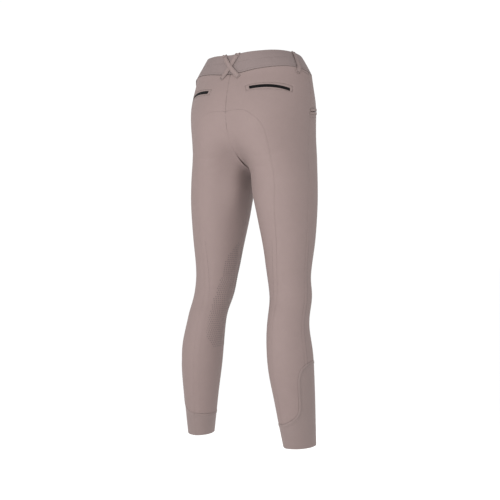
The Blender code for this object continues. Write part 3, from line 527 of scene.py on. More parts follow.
def locate(points, reference):
    """(angle, z) round the left leg for points near its surface, each close to its reference angle."""
    x, y, z = points.T
    turn = np.radians(FORM["twist"](z))
    u = np.hypot(x, FORM["rho"](z)) - FORM["cx"](z)
    v = y - FORM["cy"](z)
    across = u * np.cos(turn) + v * np.sin(turn)
    along = v * np.cos(turn) - u * np.sin(turn)
    _, width, depth, power = oval(z, along > 0, across > 0)
    angle = np.arctan2(np.sign(across) * np.abs(across / width) ** (power / 2),
                       np.sign(along) * np.abs(along / depth) ** (power / 2))
    return np.stack((angle + 2 * math.pi * np.round((reference - angle) / (2 * math.pi)), z), axis=1)


def crease_relief(points, side):
    """How far the creases move points of one leg, given as on the wearer's left, outward."""
    moved = np.zeros(len(points))
    for sign, angle, z, tilt, half_length, half_width, depth, bend in CREASES:
        if sign != side:
            continue
        middle, out = skin(math.radians(angle), z), skin_normal(math.radians(angle), z)
        level = unit(np.cross(out, UP))
        up = np.cross(level, out)
        slope = math.radians(tilt)
        away = points - middle
        along = away @ (level * math.cos(slope) + up * math.sin(slope))
        across = away @ (up * math.cos(slope) - level * math.sin(slope)) - bend * along ** 2
        ends = (along / half_length) ** 4
        shape = np.exp(-(across / half_width) ** 2 - ends)
        shoulders = 0.35 * np.exp(-(across / (2.2 * half_width)) ** 2 - ends)
        moved -= np.where(np.abs(away @ out) < CREASE_REACH, depth * (shape - shoulders), 0.0)
    return moved


# Shared mesh work

def inset(points, normals, distance):
    """Move a closed loop of points towards its inside along the surface.

    The loop runs so that its inside lies to the left, seen from outside the garment."""
    inward = unit(np.cross(normals, unit(np.roll(points, -1, axis=0) - points)))
    before = np.roll(inward, 1, axis=0)
    miter = 1 + np.sum(inward * before, axis=1)
    return points + distance * (inward + before) / np.maximum(miter, SHARPEST_MITER)[:, None]


def area_of(outline):
    following = np.roll(outline, -1, axis=0)
    return 0.5 * np.sum(outline[:, 0] * following[:, 1] - following[:, 0] * outline[:, 1])


def inside(points, outline):
    """Which of the points lie inside the closed outline."""
    result = np.zeros(len(points), bool)
    for (x0, y0), (x1, y1) in zip(outline, np.roll(outline, -1, axis=0)):
        if y0 != y1:
            crosses = (y0 > points[:, 1]) != (y1 > points[:, 1])
            result ^= crosses & (points[:, 0] < x0 + (points[:, 1] - y0) * (x1 - x0) / (y1 - y0))
    return result


def finer(loop, parts=8):
    """A closed loop of points with more points on its straight runs."""
    step = (np.roll(loop, -1, axis=0) - loop) / parts
    return np.concatenate([loop + step * k for k in range(parts)])


def nearest_distance(points, targets):
    tree = KDTree(len(targets))
    for i, target in enumerate(targets):
        tree.insert(target, i)
    tree.balance()
    return np.array([tree.find(point)[2] for point in points])


def make_mesh(name, points, faces, flat=None):
    """A smooth mesh; flat holds where each of its points lies on the cloth before sewing, in metres."""
    mesh = bpy.data.meshes.new(name)
    mesh.from_pydata([tuple(p) for p in points], [], [tuple(int(i) for i in face) for face in faces])
    mesh.shade_smooth()
    if flat is not None:
        corners = np.empty(len(mesh.loops), np.int32)
        mesh.loops.foreach_get("vertex_index", corners)
        layer = mesh.uv_layers.new(name=CLOTH_LAYER)
        layer.data.foreach_set("uv", np.asarray(flat, np.float32)[corners].ravel())
    return mesh


def closed_mesh(name, *shape):
    """A mesh of closed shapes, its faces turned outward."""
    mesh = make_mesh(name, *shape)
    body = bmesh.new()
    body.from_mesh(mesh)
    bmesh.ops.recalc_face_normals(body, faces=body.faces)
    body.to_mesh(mesh)
    body.free()
    return mesh


def add_object(name, data):
    item = bpy.data.objects.new(name, data)
    bpy.context.scene.collection.objects.link(item)
    return item


def add_piece(mesh, look, slot, *nodes, cloth=None):
    """A piece of the garment, in place, in its material, standing for these CAD nodes.

    cloth is the thickness that an outer face is given, inward."""
    mesh.materials.append(LOOKS[look])
    item = add_object(mesh.name, mesh)
    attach(item, BODY)
    if nodes:
        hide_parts(*nodes)
    if cloth:
        solid = item.modifiers.new("cloth", "SOLIDIFY")
        solid.thickness = cloth
        solid.offset = -1.0
        solid.use_quality_normals = True
    return item


def net_faces(rows, columns, closed=False):
    """The faces between rows of points; a closed net joins each row's ends and caps both ends."""
    faces = [(r * columns + c, r * columns + (c + 1) % columns, (r + 1) * columns + (c + 1) % columns,
              (r + 1) * columns + c) for r in range(rows - 1) for c in range(columns - (not closed))]
    if closed:
        faces += [tuple(range(columns))[::-1], tuple((rows - 1) * columns + c for c in range(columns))]
    return faces


def tube(rings):
    """Points and faces of a closed tube through rings of points."""
    rings = np.array(rings)
    return rings.reshape(-1, 3), net_faces(*rings.shape[:2], closed=True)


def ring(radius, height, sides):
    return [(radius * math.cos(a), radius * math.sin(a), height)
            for a in np.linspace(0, 2 * math.pi, sides, endpoint=False)]


def joined(parts):
    """Vertices and faces of several shapes as one."""
    points, faces, first = [], [], 0
    for own, own_faces in parts:
        points.append(own)
        faces.extend(tuple(i + first for i in face) for face in own_faces)
        first += len(own)
    return np.concatenate(points), faces


# Panels

def seam_points(path, spacing=EDGE_SPACING):
    """Points along an (angle, z) path, evenly spaced on the surface, ends included."""
    run = run_of(skin(*path.T))
    return at_runs(np.linspace(0.0, run[-1], max(1, round(run[-1] / spacing)) + 1), run, path)


def seam_along(rows, spacing=EDGE_SPACING):
    return seam_points(smooth_path(rows), spacing)


def centre_path(z_top, z_bottom, at_back, samples=160):
    heights = np.linspace(z_top, z_bottom, samples)
    return np.stack((centre_angle(heights, at_back), heights), axis=1)


def waist_path(start, end, samples=240):
    """The band's seam between two waist angles, as leg angles and heights."""
    angles = np.linspace(start, end, samples)
    heights = band_edge(angles, 1)
    return np.stack((leg_angle_of(angles, heights), heights), axis=1)


def join_paths(*pieces):
    """One closed outline from paths that follow each other, without repeated corners."""
    return np.concatenate([piece[:-1] for piece in pieces])


def inner_points(outline, spacing):
    """Staggered (angle, z) points inside an outline, evenly spaced on the surface."""
    flat = laid_flat(outline)
    found = []
    levels = np.arange(flat[:, 1].max() - spacing / 2, flat[:, 1].min(), -spacing * ROW_STEP)
    first, last = flat[:, 0].min(), flat[:, 0].max()
    for number, level in enumerate(levels):
        arcs = np.arange(first + spacing * (0.5 if number % 2 else 1.0), last, spacing)
        row = min(max(-level / LEVEL_STEP, 0), LEVEL_COUNT - 1.001)
        i = int(row)
        turns = np.interp(arcs, ARCS[i] * (1 - row + i) + ARCS[i + 1] * (row - i), TURNS)
        heights = np.full(len(arcs), level)
        kept = inside(np.stack((arcs, heights), axis=1), flat)
        found.append(np.stack((turns, heights), axis=1)[kept])
    return np.concatenate(found)


def beside(path, outline, distance):
    """The (angle, z) rows at a distance on both sides of a line, as far as they lie in an outline."""
    points = skin(*path.T)
    across = unit(np.cross(skin_normal(*path.T), np.gradient(points, axis=0)))
    rows = [locate(points + across * distance * way, path[:, 0]) for way in (-1, 1)]
    flat = laid_flat(outline)
    return [row[inside(laid_flat(row), flat)] for row in rows]


class Panel:
    """A cut piece of cloth, meshed once on the wearer's left and used on both sides."""

    def __init__(self, outline, windows=(), tracks=()):
        """tracks are lines (name, path, distances): rows of points run beside each at its distances."""
        self.outline = outline[::-1] if area_of(outline) > 0 else outline
        loops = [self.outline] + [window[::-1] if area_of(window) < 0 else window for window in windows]
        distances = [[SEAM_GAP / 2 + row for row in RIM_ROWS]] + [WINDOW_ROWS] * len(windows)
        rim = np.concatenate([locate(inset(skin(*loop.T), skin_normal(*loop.T), distance), loop[:, 0])
                              for loop, steps in zip(loops, distances) for distance in steps])
        rows = [row for _, path, steps in tracks for distance in steps
                for row in beside(path, self.outline, distance) if len(row)]
        clear = [nearest_distance(skin(*row.T), skin(*rim.T)) > TRACK_CLEAR for row in rows]
        rim = np.concatenate([rim] + [row[kept] for row, kept in zip(rows, clear)])
        free = inner_points(self.outline, FINE_SPACING)
        for window in windows:
            free = free[~inside(laid_flat(free), laid_flat(window))]
        free = free[nearest_distance(skin(*free.T), skin(*rim.T)) > FINE_SPACING * KEEP_OFF]
        sheet = np.concatenate((rim, free))
        rings, first = [], 0
        for loop, steps in zip(loops, distances):
            rings.append(list(range(first, first + len(loop))))
            first += len(loop) * len(steps)
        flat = laid_flat(sheet)
        edges = [(ring[i - 1], ring[i]) for ring in rings for i in range(len(ring))]
        filled = delaunay_2d_cdt([Vector(p) for p in flat], edges, rings[:1], 1, WELD_FLAT)
        self.sheet = np.array([sheet[origins[0]] for origins in filled[3]])
        faces = filled[2]
        if windows:
            spread = np.array([tuple(p) for p in filled[0]])
            middles = np.array([spread[list(face)].mean(axis=0) for face in faces])
            gone = np.any([inside(middles, flat[ring]) for ring in rings[1:]], axis=0)
            faces = [face for face, out in zip(faces, gone) if not out]
        self.faces = [face[::-1] for face in faces]
        self.points, self.normals = skin(*self.sheet.T), skin_normal(*self.sheet.T)
        brinks = np.concatenate([finer(skin(*loop.T)) for loop in loops])
        self.rim_distance = nearest_distance(self.points, brinks)
        self.from_track = {name: nearest_distance(self.points, skin(*seam_points(path, TRACK_SPACING).T))
                           for name, path, _ in tracks}

    def mesh(self, name, side, thickness):
        """The panel's outer face on one side of the garment, with its relief."""
        near = np.clip(1 - self.rim_distance / SEAM_ROLL_WIDTH, 0, 1)
        roll = np.full(len(self.points), SEAM_ROLL)
        for track, deep in DEEP_ROLLS.items():
            if track in self.from_track:
                roll += (deep - SEAM_ROLL) * smoothstep(2 - self.from_track[track] / SEAM_ROLL_WIDTH)
        out = self.relief(side) - roll * near ** 2
        points = self.points + self.normals * out[:, None]
        lean = np.maximum(self.normals[:, 0], 0.0)
        points[:, 0] = np.maximum(points[:, 0], SEAM_GAP / 2 + lean * thickness)
        flat, faces = laid_flat(self.sheet), self.faces
        if side == RIGHT:
            points, flat, faces = points * (-1, 1, 1), flat * (-1, 1), [face[::-1] for face in faces]
        return make_mesh(name, points, faces, flat)

    def relief(self, side):
        """Creases, seam allowances that show through, sewn lines, and the turned edge of a cuff."""
        out = crease_relief(self.points, side)
        z = self.points[:, 2]
        for name, distance in self.from_track.items():
            if name in ("seat", "side"):
                width = SEAT_ALLOWANCE if name == "seat" else SIDE_ALLOWANCE
                fade = smoothstep((ALLOWANCE_FROM - z) / ALLOWANCE_FADE)
                out += ALLOWANCE_LIFT * fade * step_up(distance, width)
            elif name.startswith("sewn"):
                out -= SEWN_SINK * bell(distance, SEWN_HALF)
            elif name == "centre_low":
                fade = smoothstep((HOLLOW_FROM - z) / HOLLOW_FADE) * smoothstep((z - CROTCH_Z) / HOLLOW_END)
                out -= HOLLOW_DEPTH * fade * (1 - bell(distance, HOLLOW_NEAR)) * bell(distance, HOLLOW_FAR)
            elif name == "fold":
                out += FOLD_LIFT * smoothstep((FOLD_FROM - z) / FOLD_FADE) * bell(distance, FOLD_WIDTH, 1)
            elif name == "slit":
                out -= SLIT_SINK * bell(distance, SLIT_HALF, 4)
            elif name == "cuff_top":
                rise = smoothstep(distance / CUFF_RIDGE_RISE)
                out += CUFF_RIDGE * step_up(distance, CUFF_RIDGE_WIDTH) * rise
        return out


def step_up(distance, width):
    """1 within a width of a seam, falling softly to 0 at its far edge."""
    return 1 - smoothstep((distance - width + STEP_HALF) / (2 * STEP_HALF))


def step_rows(width):
    return width - STEP_HALF, width, width + STEP_HALF


def strip_outline(rows, height):
    """The (angle, z) outline of a level slot round a line, its corners slightly rounded."""
    path = seam_along(rows, WINDOW_SPACING)
    up, down = path + (0.0, height / 2), path - (0.0, height / 2)
    corner = (0.0, WINDOW_CORNER)
    return np.concatenate((down[1:-1], down[-1:] + corner, up[-1:] - corner,
                           up[-2:0:-1], up[:1] - corner, down[:1] + corner))


def build_panels():
    """The six leg and seat panels and the two cuffs."""
    side = seam_along(((90.0, float(band_edge(90.0, 1))),) + SIDE_SEAM)
    seat = seam_along(((math.degrees(centre_angle(SEAT_TOP_Z, True)), SEAT_TOP_Z),) + SEAT_SEAM)
    inseam, edge_outer, edge_front, edge_inner = [
        seam_along(rows) for rows in (INSEAM, CUFF_EDGE_OUTER_BACK, CUFF_EDGE_FRONT, CUFF_EDGE_INNER_BACK)]
    waist_back = seam_points(waist_path(0.0, 90.0))
    waist_front = seam_points(waist_path(90.0, 180.0))
    back_top = seam_points(centre_path(float(band_edge(0.0, 1)), SEAT_TOP_Z, True))
    back_low = seam_points(centre_path(SEAT_TOP_Z, CROTCH_Z, True))
    front = seam_points(centre_path(float(band_edge(180.0, 1)), CROTCH_Z, False))
    slit = seam_along(FRONT_POCKET, WINDOW_SPACING)
    slit = slit[slit[:, 0] > math.radians(FRONT_POCKET[0][0] + SLIT_START)]
    frames = tuple(("sewn_%d" % number, seam_along(rows, WINDOW_SPACING), SEWN_ROWS)
                   for number, rows in enumerate(POCKET_FRAME))
    hem = seam_points(np.array([(angle, HEM_Z) for angle in np.linspace(2 * math.pi, 0.0, 300)]))
    cuff_seam = seam_points(np.array(((0.0, HEM_Z), (0.0, edge_outer[0, 1]))))
    cuff_top = np.concatenate((edge_outer[:-1], edge_front[:-1], edge_inner + FULL_TURN))
    low_seat, low_side = [path[path[:, 1] < ALLOWANCE_FROM] for path in (seat, side)]
    hollow, deep_side, fold = ("centre_low", back_low, ()), ("side_seam", side, ()), ("fold", seat, ())
    panels = {
        "back": Panel(join_paths(waist_back, side, edge_outer[::-1], seat[::-1], back_top[::-1]),
                      (strip_outline(BACK_POCKET, BACK_MOUTH),),
                      (("waist", waist_back, ()), ("centre", back_top, ()), hollow, fold,
                       deep_side) + frames),
        "seat": Panel(join_paths(seat, edge_inner[::-1], (inseam - FULL_TURN)[::-1], back_low[::-1]), (),
                      (("seat", low_seat, step_rows(SEAT_ALLOWANCE)), hollow, fold)),
        "front": Panel(join_paths(waist_front, front, inseam, edge_front[::-1], side[::-1]), (),
                       (("waist", waist_front, ()), hollow, ("slit", slit, SLIT_ROWS),
                        ("side", low_side, step_rows(SIDE_ALLOWANCE)), deep_side)),
        "cuff": Panel(join_paths(cuff_seam, cuff_top, (cuff_seam + FULL_TURN)[::-1], hem), (),
                      (("cuff_top", cuff_top, (CUFF_RIDGE_ROW,) + step_rows(CUFF_RIDGE_WIDTH)),
                       ("fold", cuff_seam, ())))}
    pieces = {}
    for kind, panel in panels.items():
        slot, thickness = ("cuff_cloth", CUFF_CLOTH) if kind == "cuff" else ("stretch_cloth", PANEL_CLOTH)
        for sign, label in SIDES:
            name = "%s_%s" % (kind, label)
            pieces[name] = add_piece(panel.mesh(name + "_cloth", sign, thickness), slot, slot, name,
                                     cloth=thickness)
    shown = ALLOWANCE_FROM - ALLOWANCE_FADE
    sewn_seat, sewn_side, sewn_cuff = [
        max(beside(path, panels[kind].outline, distance), key=len) for path, kind, distance in (
            (seat[seat[:, 1] < shown], "seat", SEAT_ALLOWANCE - ALLOWANCE_SEWN),
            (side[side[:, 1] < shown], "front", SIDE_ALLOWANCE - ALLOWANCE_SEWN),
            (cuff_top, "cuff", CUFF_RIDGE_WIDTH - CUFF_SEWN))]
    for sign, label in SIDES:
        legs = [skin_line(line, sign, ALLOWANCE_LIFT) for line in (sewn_seat, sewn_side)]
        add_stitches("leg_stitches_" + label, legs, "stretch_cloth")
        add_stitches("cuff_stitches_" + label, [skin_line(sewn_cuff, sign, CUFF_RIDGE)], "cuff_cloth")
    return pieces


# Waistband

def band_relief(share, angle):
    """How far the band's outer face stands off its cone: softly inflated between its sewn lines."""
    height = band_height(angle)
    arch = np.sin(math.pi * np.clip(share, 0, 1))
    swell = BAND_SWELL * arch ** 0.6
    for line in (share * height - BAND_STITCH_LOW, (1 - share) * height - BAND_STITCH_HIGH):
        swell = swell - BAND_STITCH_SINK * bell(line, BAND_STITCH_HALF)
    ripple = (np.sin(angle * 0.31 + 1.1) + np.sin(angle * 0.173 + share * 2.1)
              + np.sin(angle * 0.57 - share * 3) + 0.7 * np.sin(share * 27 + 1.6 * np.sin(angle * 0.09)))
    return swell + BAND_RIPPLE * ripple * arch


def band_surface(angle, share, lift=0.0):
    """Points on the band's outer face, at a lift above it, and their outward directions."""
    angle, share = matched(angle, share)
    normal = normal_at(band_point, angle, share, WAIST_STEP, SHARE_STEP)
    level = np.concatenate((unit(normal[..., :2]), np.zeros_like(normal[..., :1])), axis=-1)
    lap = smoothstep((-180 + BAND_OVERLAP + BAND_RAMP - angle) / BAND_RAMP) * (BAND_CLOTH + 2 * SEAM_GAP)
    out = band_relief(share, angle) + lift
    return band_point(angle, share) + level * lap[..., None] + normal * np.asarray(out)[..., None], normal


def build_waistband():
    """One closed, soft-edged strip round the waist; its right end laps over its left end in front."""
    angles = np.linspace(180 + BAND_OVERLAP, -180 - BAND_OVERLAP, BAND_COLUMNS + 1)
    rim = BAND_CLOTH / 2
    behind = -BAND_ALLOWANCE_IN - BAND_ALLOWANCE
    profile = []  # share, metres above that share, metres off the outer face
    for turn in np.radians(np.linspace(-90, 0, 4)):
        profile.append((0.0, rim * (1 + math.sin(turn)) + SEAM_GAP, -rim * (1 - math.cos(turn))))
    profile += [(share, 0.0, 0.0) for share in np.linspace(0.05, 0.955, BAND_PROFILE)]
    for turn in np.radians(np.linspace(0, 180, 7)):
        profile.append((1.0, -rim * (1 - math.sin(turn)), -rim * (1 - math.cos(turn))))
    profile += [(share, 0.0, -BAND_CLOTH) for share in np.linspace(0.92, 0.08, 8)]
    # the allowance behind the panels
    profile += [(0.0, 0.0006, behind), (0.0, -BAND_ALLOWANCE_DOWN, behind),
                (0.0, -BAND_ALLOWANCE_DOWN, -BAND_ALLOWANCE_IN), (0.0, 0.0003, -BAND_ALLOWANCE_IN),
                (0.0, rim + SEAM_GAP, -BAND_CLOTH)]
    grid = np.array([band_surface(angles, share + above / band_height(angles), off)[0]
                     for share, above, off in profile]).transpose(1, 0, 2)
    run, rise = run_of(grid[:, BAND_PROFILE // 2]), run_of(grid[len(grid) // 2])
    flat = np.stack(np.broadcast_arrays(run[:, None], rise[None, :]), axis=-1).reshape(-1, 2)
    mesh = closed_mesh("waistband_cloth", *tube(grid), flat)
    return add_piece(mesh, "band_cloth", "band_cloth", "waistband")


def sew_waistband():
    """Two sewn lines along the band, but for the end that the other one covers."""
    angles = np.linspace(-180 - BAND_OVERLAP + 1, 180 - BAND_OVERLAP - 1, 1400)
    height = band_height(angles)
    shares = BAND_STITCH_LOW / height, 1 - BAND_STITCH_HIGH / height
    add_stitches("waistband_stitches", [band_surface(angles, share) for share in shares], "band_cloth")


# Strips laid on the garment

def swept(points, normals, width, thickness, corner, across_steps=6):
    """A tape with rounded edges along points, its underside at them: vertices, faces and flat places."""
    along = unit(np.gradient(points, axis=0))
    across = unit(np.cross(normals, along))
    up = np.cross(along, across)
    half = width / 2
    edge = [(half - corner * (1 - math.cos(a)), thickness - corner + corner * math.sin(a))
            for a in np.linspace(math.pi / 2, 0.3, 3)]
    profile = [(-half, corner)] + [(-x, y) for x, y in edge[::-1]]
    profile += [(x, thickness) for x in np.linspace(-half + 2 * corner, half - 2 * corner, across_steps)]
    profile += edge + [(half, corner), (half - corner, 0.0), (-half + corner, 0.0)]
    rings = np.array([points + across * x + up * y for x, y in profile]).transpose(1, 0, 2)
    sideways = np.array([x for x, _ in profile])
    flat = np.stack(np.broadcast_arrays(sideways[None, :], run_of(points)[:, None]), axis=-1).reshape(-1, 2)
    return *tube(rings), flat


def capsule(length, radius, sides=6):
    """A lying capsule along x, as points and faces."""
    stations = ((-0.5, 0.35), (-0.36, 0.95), (0.0, 1.0), (0.36, 0.95), (0.5, 0.35))
    return tube([np.roll(ring(radius * share, at * length, sides), 1, axis=1) for at, share in stations])


def placed(shape, points, along, up):
    """Copies of a small shape at points, its x along and z up."""
    own, own_faces = shape
    along = unit(along)
    across = unit(np.cross(up, along))
    up = np.cross(along, across)
    spread = (points[:, None] + own[None, :, :1] * along[:, None] + own[None, :, 1:2] * across[:, None]
              + own[None, :, 2:] * up[:, None])
    faces = [tuple(i + n * len(own) for i in face) for n in range(len(points)) for face in own_faces]
    return spread.reshape(-1, 3), faces


def spaced(points, normals, pitch):
    """Even places along a line: points, directions along it and outward directions."""
    run = run_of(points)
    at = np.arange(pitch / 2, run[-1], pitch)
    along = at_runs(at + pitch * 0.2, run, points) - at_runs(at - pitch * 0.2, run, points)
    return at_runs(at, run, points), along, at_runs(at, run, normals)


def add_stitches(name, lines, slot):
    """Rows of stitches along lines, given as points and outward directions, as one piece of thread."""
    stitch = capsule(STITCH_LENGTH, STITCH_RADIUS)
    rows = [spaced(points, normals, STITCH_PITCH) for points, normals in lines]
    parts = [placed(stitch, here + out * STITCH_LIFT, along, out) for here, along, out in rows if len(here)]
    add_piece(make_mesh(name, *joined(parts)), "thread", slot)


def waist_surface(angle, z, lift):
    """Points over the band or the panels under it, at a lift above their outer face."""
    angle, z = matched(angle, z)
    normal = normal_at(waist_point, angle, z, WAIST_STEP, 0.004)
    share = (z - band_edge(angle, 1)) / band_height(angle)
    swell = np.where(share > 0, band_relief(np.clip(share, 0, 1), angle), 0.0) * smoothstep(share / 0.12)
    return waist_point(angle, z) + normal * (swell + lift)[..., None], normal


def smoothed(values, rounds):
    for _ in range(rounds):
        inner = (values[:-2] + 2 * values[1:-1] + values[2:]) / 4
        values = np.concatenate((values[:1], inner, values[-1:]))
    return values


def loop_path(start, end, lift):
    """The underside of a loop from its foot up over the band's top edge, and its outward directions."""
    t = np.linspace(0.0, 1.0, LOOP_STEPS)
    arch = smoothstep(t / LOOP_SEWN) * smoothstep((1 - t) / LOOP_SEWN)
    points, normals = waist_surface(end[0] + (start[0] - end[0]) * t, end[1] + (start[1] - end[1]) * t,
                                    LAID_ON_GAP + arch * lift)
    slope = (start[0] - end[0]) / (start[1] - end[1])  # degrees a metre
    rim = BAND_CLOTH / 2
    over_points, over_normals = [], []
    for turn in np.radians(np.linspace(15, 180, LOOP_FOLD_ROWS)):
        at = start[0] + slope * rim * turn
        middle, out = band_surface(at, 1 - (rim + SEAM_GAP) / band_height(at), -rim)
        facing = unit(out - UP * (out @ UP)) * math.cos(turn) + UP * math.sin(turn)
        over_points.append(middle + facing * (rim + LAID_ON_GAP + SEAM_GAP))
        over_normals.append(facing)
    over_points += [over_points[-1] - UP * down for down in np.linspace(0.2, 1.0, 5) * LOOP_FOLD_TAIL]
    over_normals += [over_normals[-1]] * 5
    return (np.concatenate((smoothed(points, 2), over_points)),
            np.concatenate((smoothed(normals, 4), over_normals)))


def build_loop(name, start, end, lift):
    """A folded tape sewn on below the band's seam, arched up over the band and turned over its top."""
    points, normals = loop_path(start, end, lift)
    mesh = closed_mesh(name + "_tape", *swept(points, normals, LOOP_WIDTH, LOOP_CLOTH, LOOP_CORNER))
    add_piece(mesh, "loop_cloth", "band_cloth", name)
    across = unit(np.cross(normals, np.gradient(points, axis=0)))[:LOOP_STEPS]
    points, normals = points[:LOOP_STEPS], normals[:LOOP_STEPS]
    outer = points + normals * LOOP_CLOTH
    reach = LOOP_WIDTH / 2 - LOOP_STITCH_EDGE
    add_stitches(name + "_stitches", [(outer + across * reach * way, normals) for way in (-1, 1)],
                 "band_cloth")
    tacks = []
    run = run_of(outer)
    count = int((LOOP_WIDTH - 0.0016) / TACK_PITCH)
    for at in (TACK_AT[0], run[-1] + TACK_AT[1]):
        here, out, sideways = [at_runs(at, run, values) for values in (outer, normals, across)]
        places = here + sideways * (np.arange(count)[:, None] - (count - 1) / 2) * TACK_PITCH
        turns = [np.tile(way, (count, 1)) for way in (np.cross(sideways, out), out)]
        tacks.append(placed(capsule(TACK_LENGTH, TACK_RADIUS), places, *turns))
    add_piece(make_mesh(name + "_tacks", *joined(tacks)), "thread", "band_cloth")


def build_loops():
    reach = CROSS_REACH / (float(np.linalg.norm(waist_point(1.0, 0.0) - waist_point(-1.0, 0.0))) / 2)

    def ends(top_angle, foot_angle, tail):
        return ((top_angle, float(band_edge(top_angle, 2)) - LOOP_TOP_DROP),
                (foot_angle, float(band_edge(foot_angle, 1)) - tail))

    build_loop("loop_cross_under", *ends(-reach, reach, CROSS_TAIL), LOOP_RISE)
    build_loop("loop_cross_over", *ends(reach, -reach, CROSS_TAIL), CROSS_LIFT)
    for place, top_angle, foot_angle in STRAIGHT_LOOPS:
        for sign, label in SIDES:
            build_loop("loop_%s_%s" % (place, label),
                       *ends(top_angle * sign, foot_angle * sign, STRAIGHT_TAIL), LOOP_RISE)


def skin_line(path, side, lift):
    """Points over the panels along an (angle, z) path on one leg, and their outward directions."""
    points, normals = skin(*path.T), skin_normal(*path.T)
    points = points + normals * (crease_relief(points, side) + lift)[:, None]
    flip = np.array((side, 1.0, 1.0))
    return points * flip, normals * flip


def sew_frame(name, lines, side):
    add_stitches(name, [skin_line(line, side, 0.0) for line in lines], "stretch_cloth")


def build_pockets():
    """Zips behind the mouths in the back panels, and the folded lips of the front pockets."""
    end, end_z = FRONT_POCKET[-1]
    frame_end = ((end, end_z + FRONT_FRAME_ABOVE), (end, end_z - FRONT_FRAME_BELOW))
    slit = seam_along(FRONT_POCKET, STITCH_FINE)
    back_frame = [seam_along(rows, STITCH_FINE) for rows in POCKET_FRAME]
    front_frame = [slit + (0.0, FRONT_FRAME_ABOVE), slit - (0.0, FRONT_FRAME_BELOW),
                   seam_along(frame_end, STITCH_FINE)]
    for sign, label in SIDES:
        name = "back_pocket_zip_" + label
        points, normals = skin_line(seam_along(BACK_POCKET, 0.0016), sign, -PANEL_CLOTH - ZIP_DEPTH)
        tape = swept(points, normals, BACK_MOUTH + ZIP_MARGIN, 0.0005, 0.0001)
        add_piece(closed_mesh(name + "_tape", *tape), "zip_tape", "zip_tape", name)
        here, along, out = spaced(points + normals * COIL_LIFT, normals, COIL_PITCH)
        coil = placed(capsule(COIL_WIDTH, COIL_RADIUS), here, np.cross(out, along), out)
        add_piece(closed_mesh(name + "_coil", *coil), "zip_coil", "zip_tape")
        sew_frame("back_pocket_stitches_" + label, back_frame, sign)
        for place, move in (("upper", 0.5), ("lower", -0.5)):
            path = seam_along(FRONT_POCKET, 0.0024) + (0.0, move * (POCKET_SLIT + LIP_HEIGHT))
            name = "front_pocket_lip_%s_%s" % (place, label)
            lip = swept(*skin_line(path, sign, 0.0), LIP_HEIGHT, LIP_CLOTH, LIP_CORNER)
            add_piece(closed_mesh(name + "_fold", *lip), "stretch_cloth", "stretch_cloth", name)
        sew_frame("front_pocket_stitches_" + label, front_frame, sign)


# Fly and button

def front_point(x, z):
    """The outer surface of the front at signed distances from its centre."""
    x, z = matched(x, z)
    offset = np.hypot(x, FORM["rho"](z)) - FORM["cx"](z)
    power = np.where(offset < 0, 2.0, FORM["square_front"](z))
    share = np.abs(offset) / np.where(offset < 0, FORM["inner_front"](z), FORM["out"](z))
    y = FORM["cy"](z) - FORM["front"](z) * (1 - share ** power) ** (1 / power)
    return np.stack((x, y, z), axis=-1)


def front_surface(x, z, lift):
    """Points over the front at a lift above it, and their outward directions."""
    x, z = matched(x, z)
    normal = -normal_at(front_point, x, z, 0.001, 0.001)
    return front_point(x, z) + normal * np.asarray(lift)[..., None], normal


def fly_width(z):
    """The placket's width at a height: its lower corner is rounded off."""
    below = np.clip((FLY_END_Z + FLY_ROUND - z) / FLY_ROUND, 0.0, 1.0)
    return FLY_WIDTH * (1 - FLY_TAPER * (1 - np.sqrt(1 - below ** 2)))


def build_fly():
    """The placket of the fly: a flap over the centre front, its long edge and foot free and rolled."""
    top = float(band_edge(180.0, 1)) - FLY_TOP_DROP
    heights = (FLY_END_Z + (top - FLY_END_Z) * np.linspace(0, 1, FLY_ROWS + 1) ** 1.25)[::-1]
    shares = np.concatenate(((0.0, 0.02, 0.05), np.linspace(0.1, 0.9, FLY_COLUMNS), (0.95, 0.98, 1.0)))
    z = heights[:, None] * np.ones(len(shares))
    width = fly_width(z)
    x = FLY_PAST_CENTRE - width * shares
    rim = np.minimum(np.minimum(shares * width, (1 - shares) * width), z - FLY_END_Z)
    lift = LAID_ON_GAP + FLY_CLOTH - FLY_ROLL * np.clip(1 - rim / FLY_ROLL_WIDTH, 0, 1) ** 2
    mesh = make_mesh("fly_placket_flap", front_surface(x, z, lift)[0].reshape(-1, 3), net_faces(*x.shape),
                     np.stack((x, z), axis=-1).reshape(-1, 2))
    placket = add_piece(mesh, "stretch_cloth", "stretch_cloth", "fly_placket", cloth=FLY_CLOTH)
    heights = np.linspace(top - 0.002, FLY_END_Z + 0.0075, 300)
    line = front_surface(FLY_PAST_CENTRE - fly_width(heights) + FLY_WIDTH - FLY_STITCH, heights,
                         LAID_ON_GAP + FLY_CLOTH)
    add_stitches("fly_stitches", [line], "stretch_cloth")
    return placket


def drilled(mesh, places):
    """The mesh with thread holes cut right through it along z."""
    bits = joined([tube([ring(BUTTON_HOLE, z, 16) + np.array((x, y, 0.0)) for z in (-0.002, 0.006)])
                   for x, y in places])
    blank, cutter = add_object("blank", mesh), add_object("bits", closed_mesh("bits", *bits))
    cut = blank.modifiers.new("holes", "BOOLEAN")
    cut.object = cutter
    cut.operation = "DIFFERENCE"
    cut.solver = "EXACT"
    result = bpy.data.meshes.new_from_object(blank.evaluated_get(bpy.context.evaluated_depsgraph_get()))
    for item in (blank, cutter):
        bpy.data.objects.remove(item)
    bpy.data.meshes.remove(mesh)
    result.set_sharp_from_angle(angle=math.radians(50))
    result.name = "waist_button_disc"
    return result


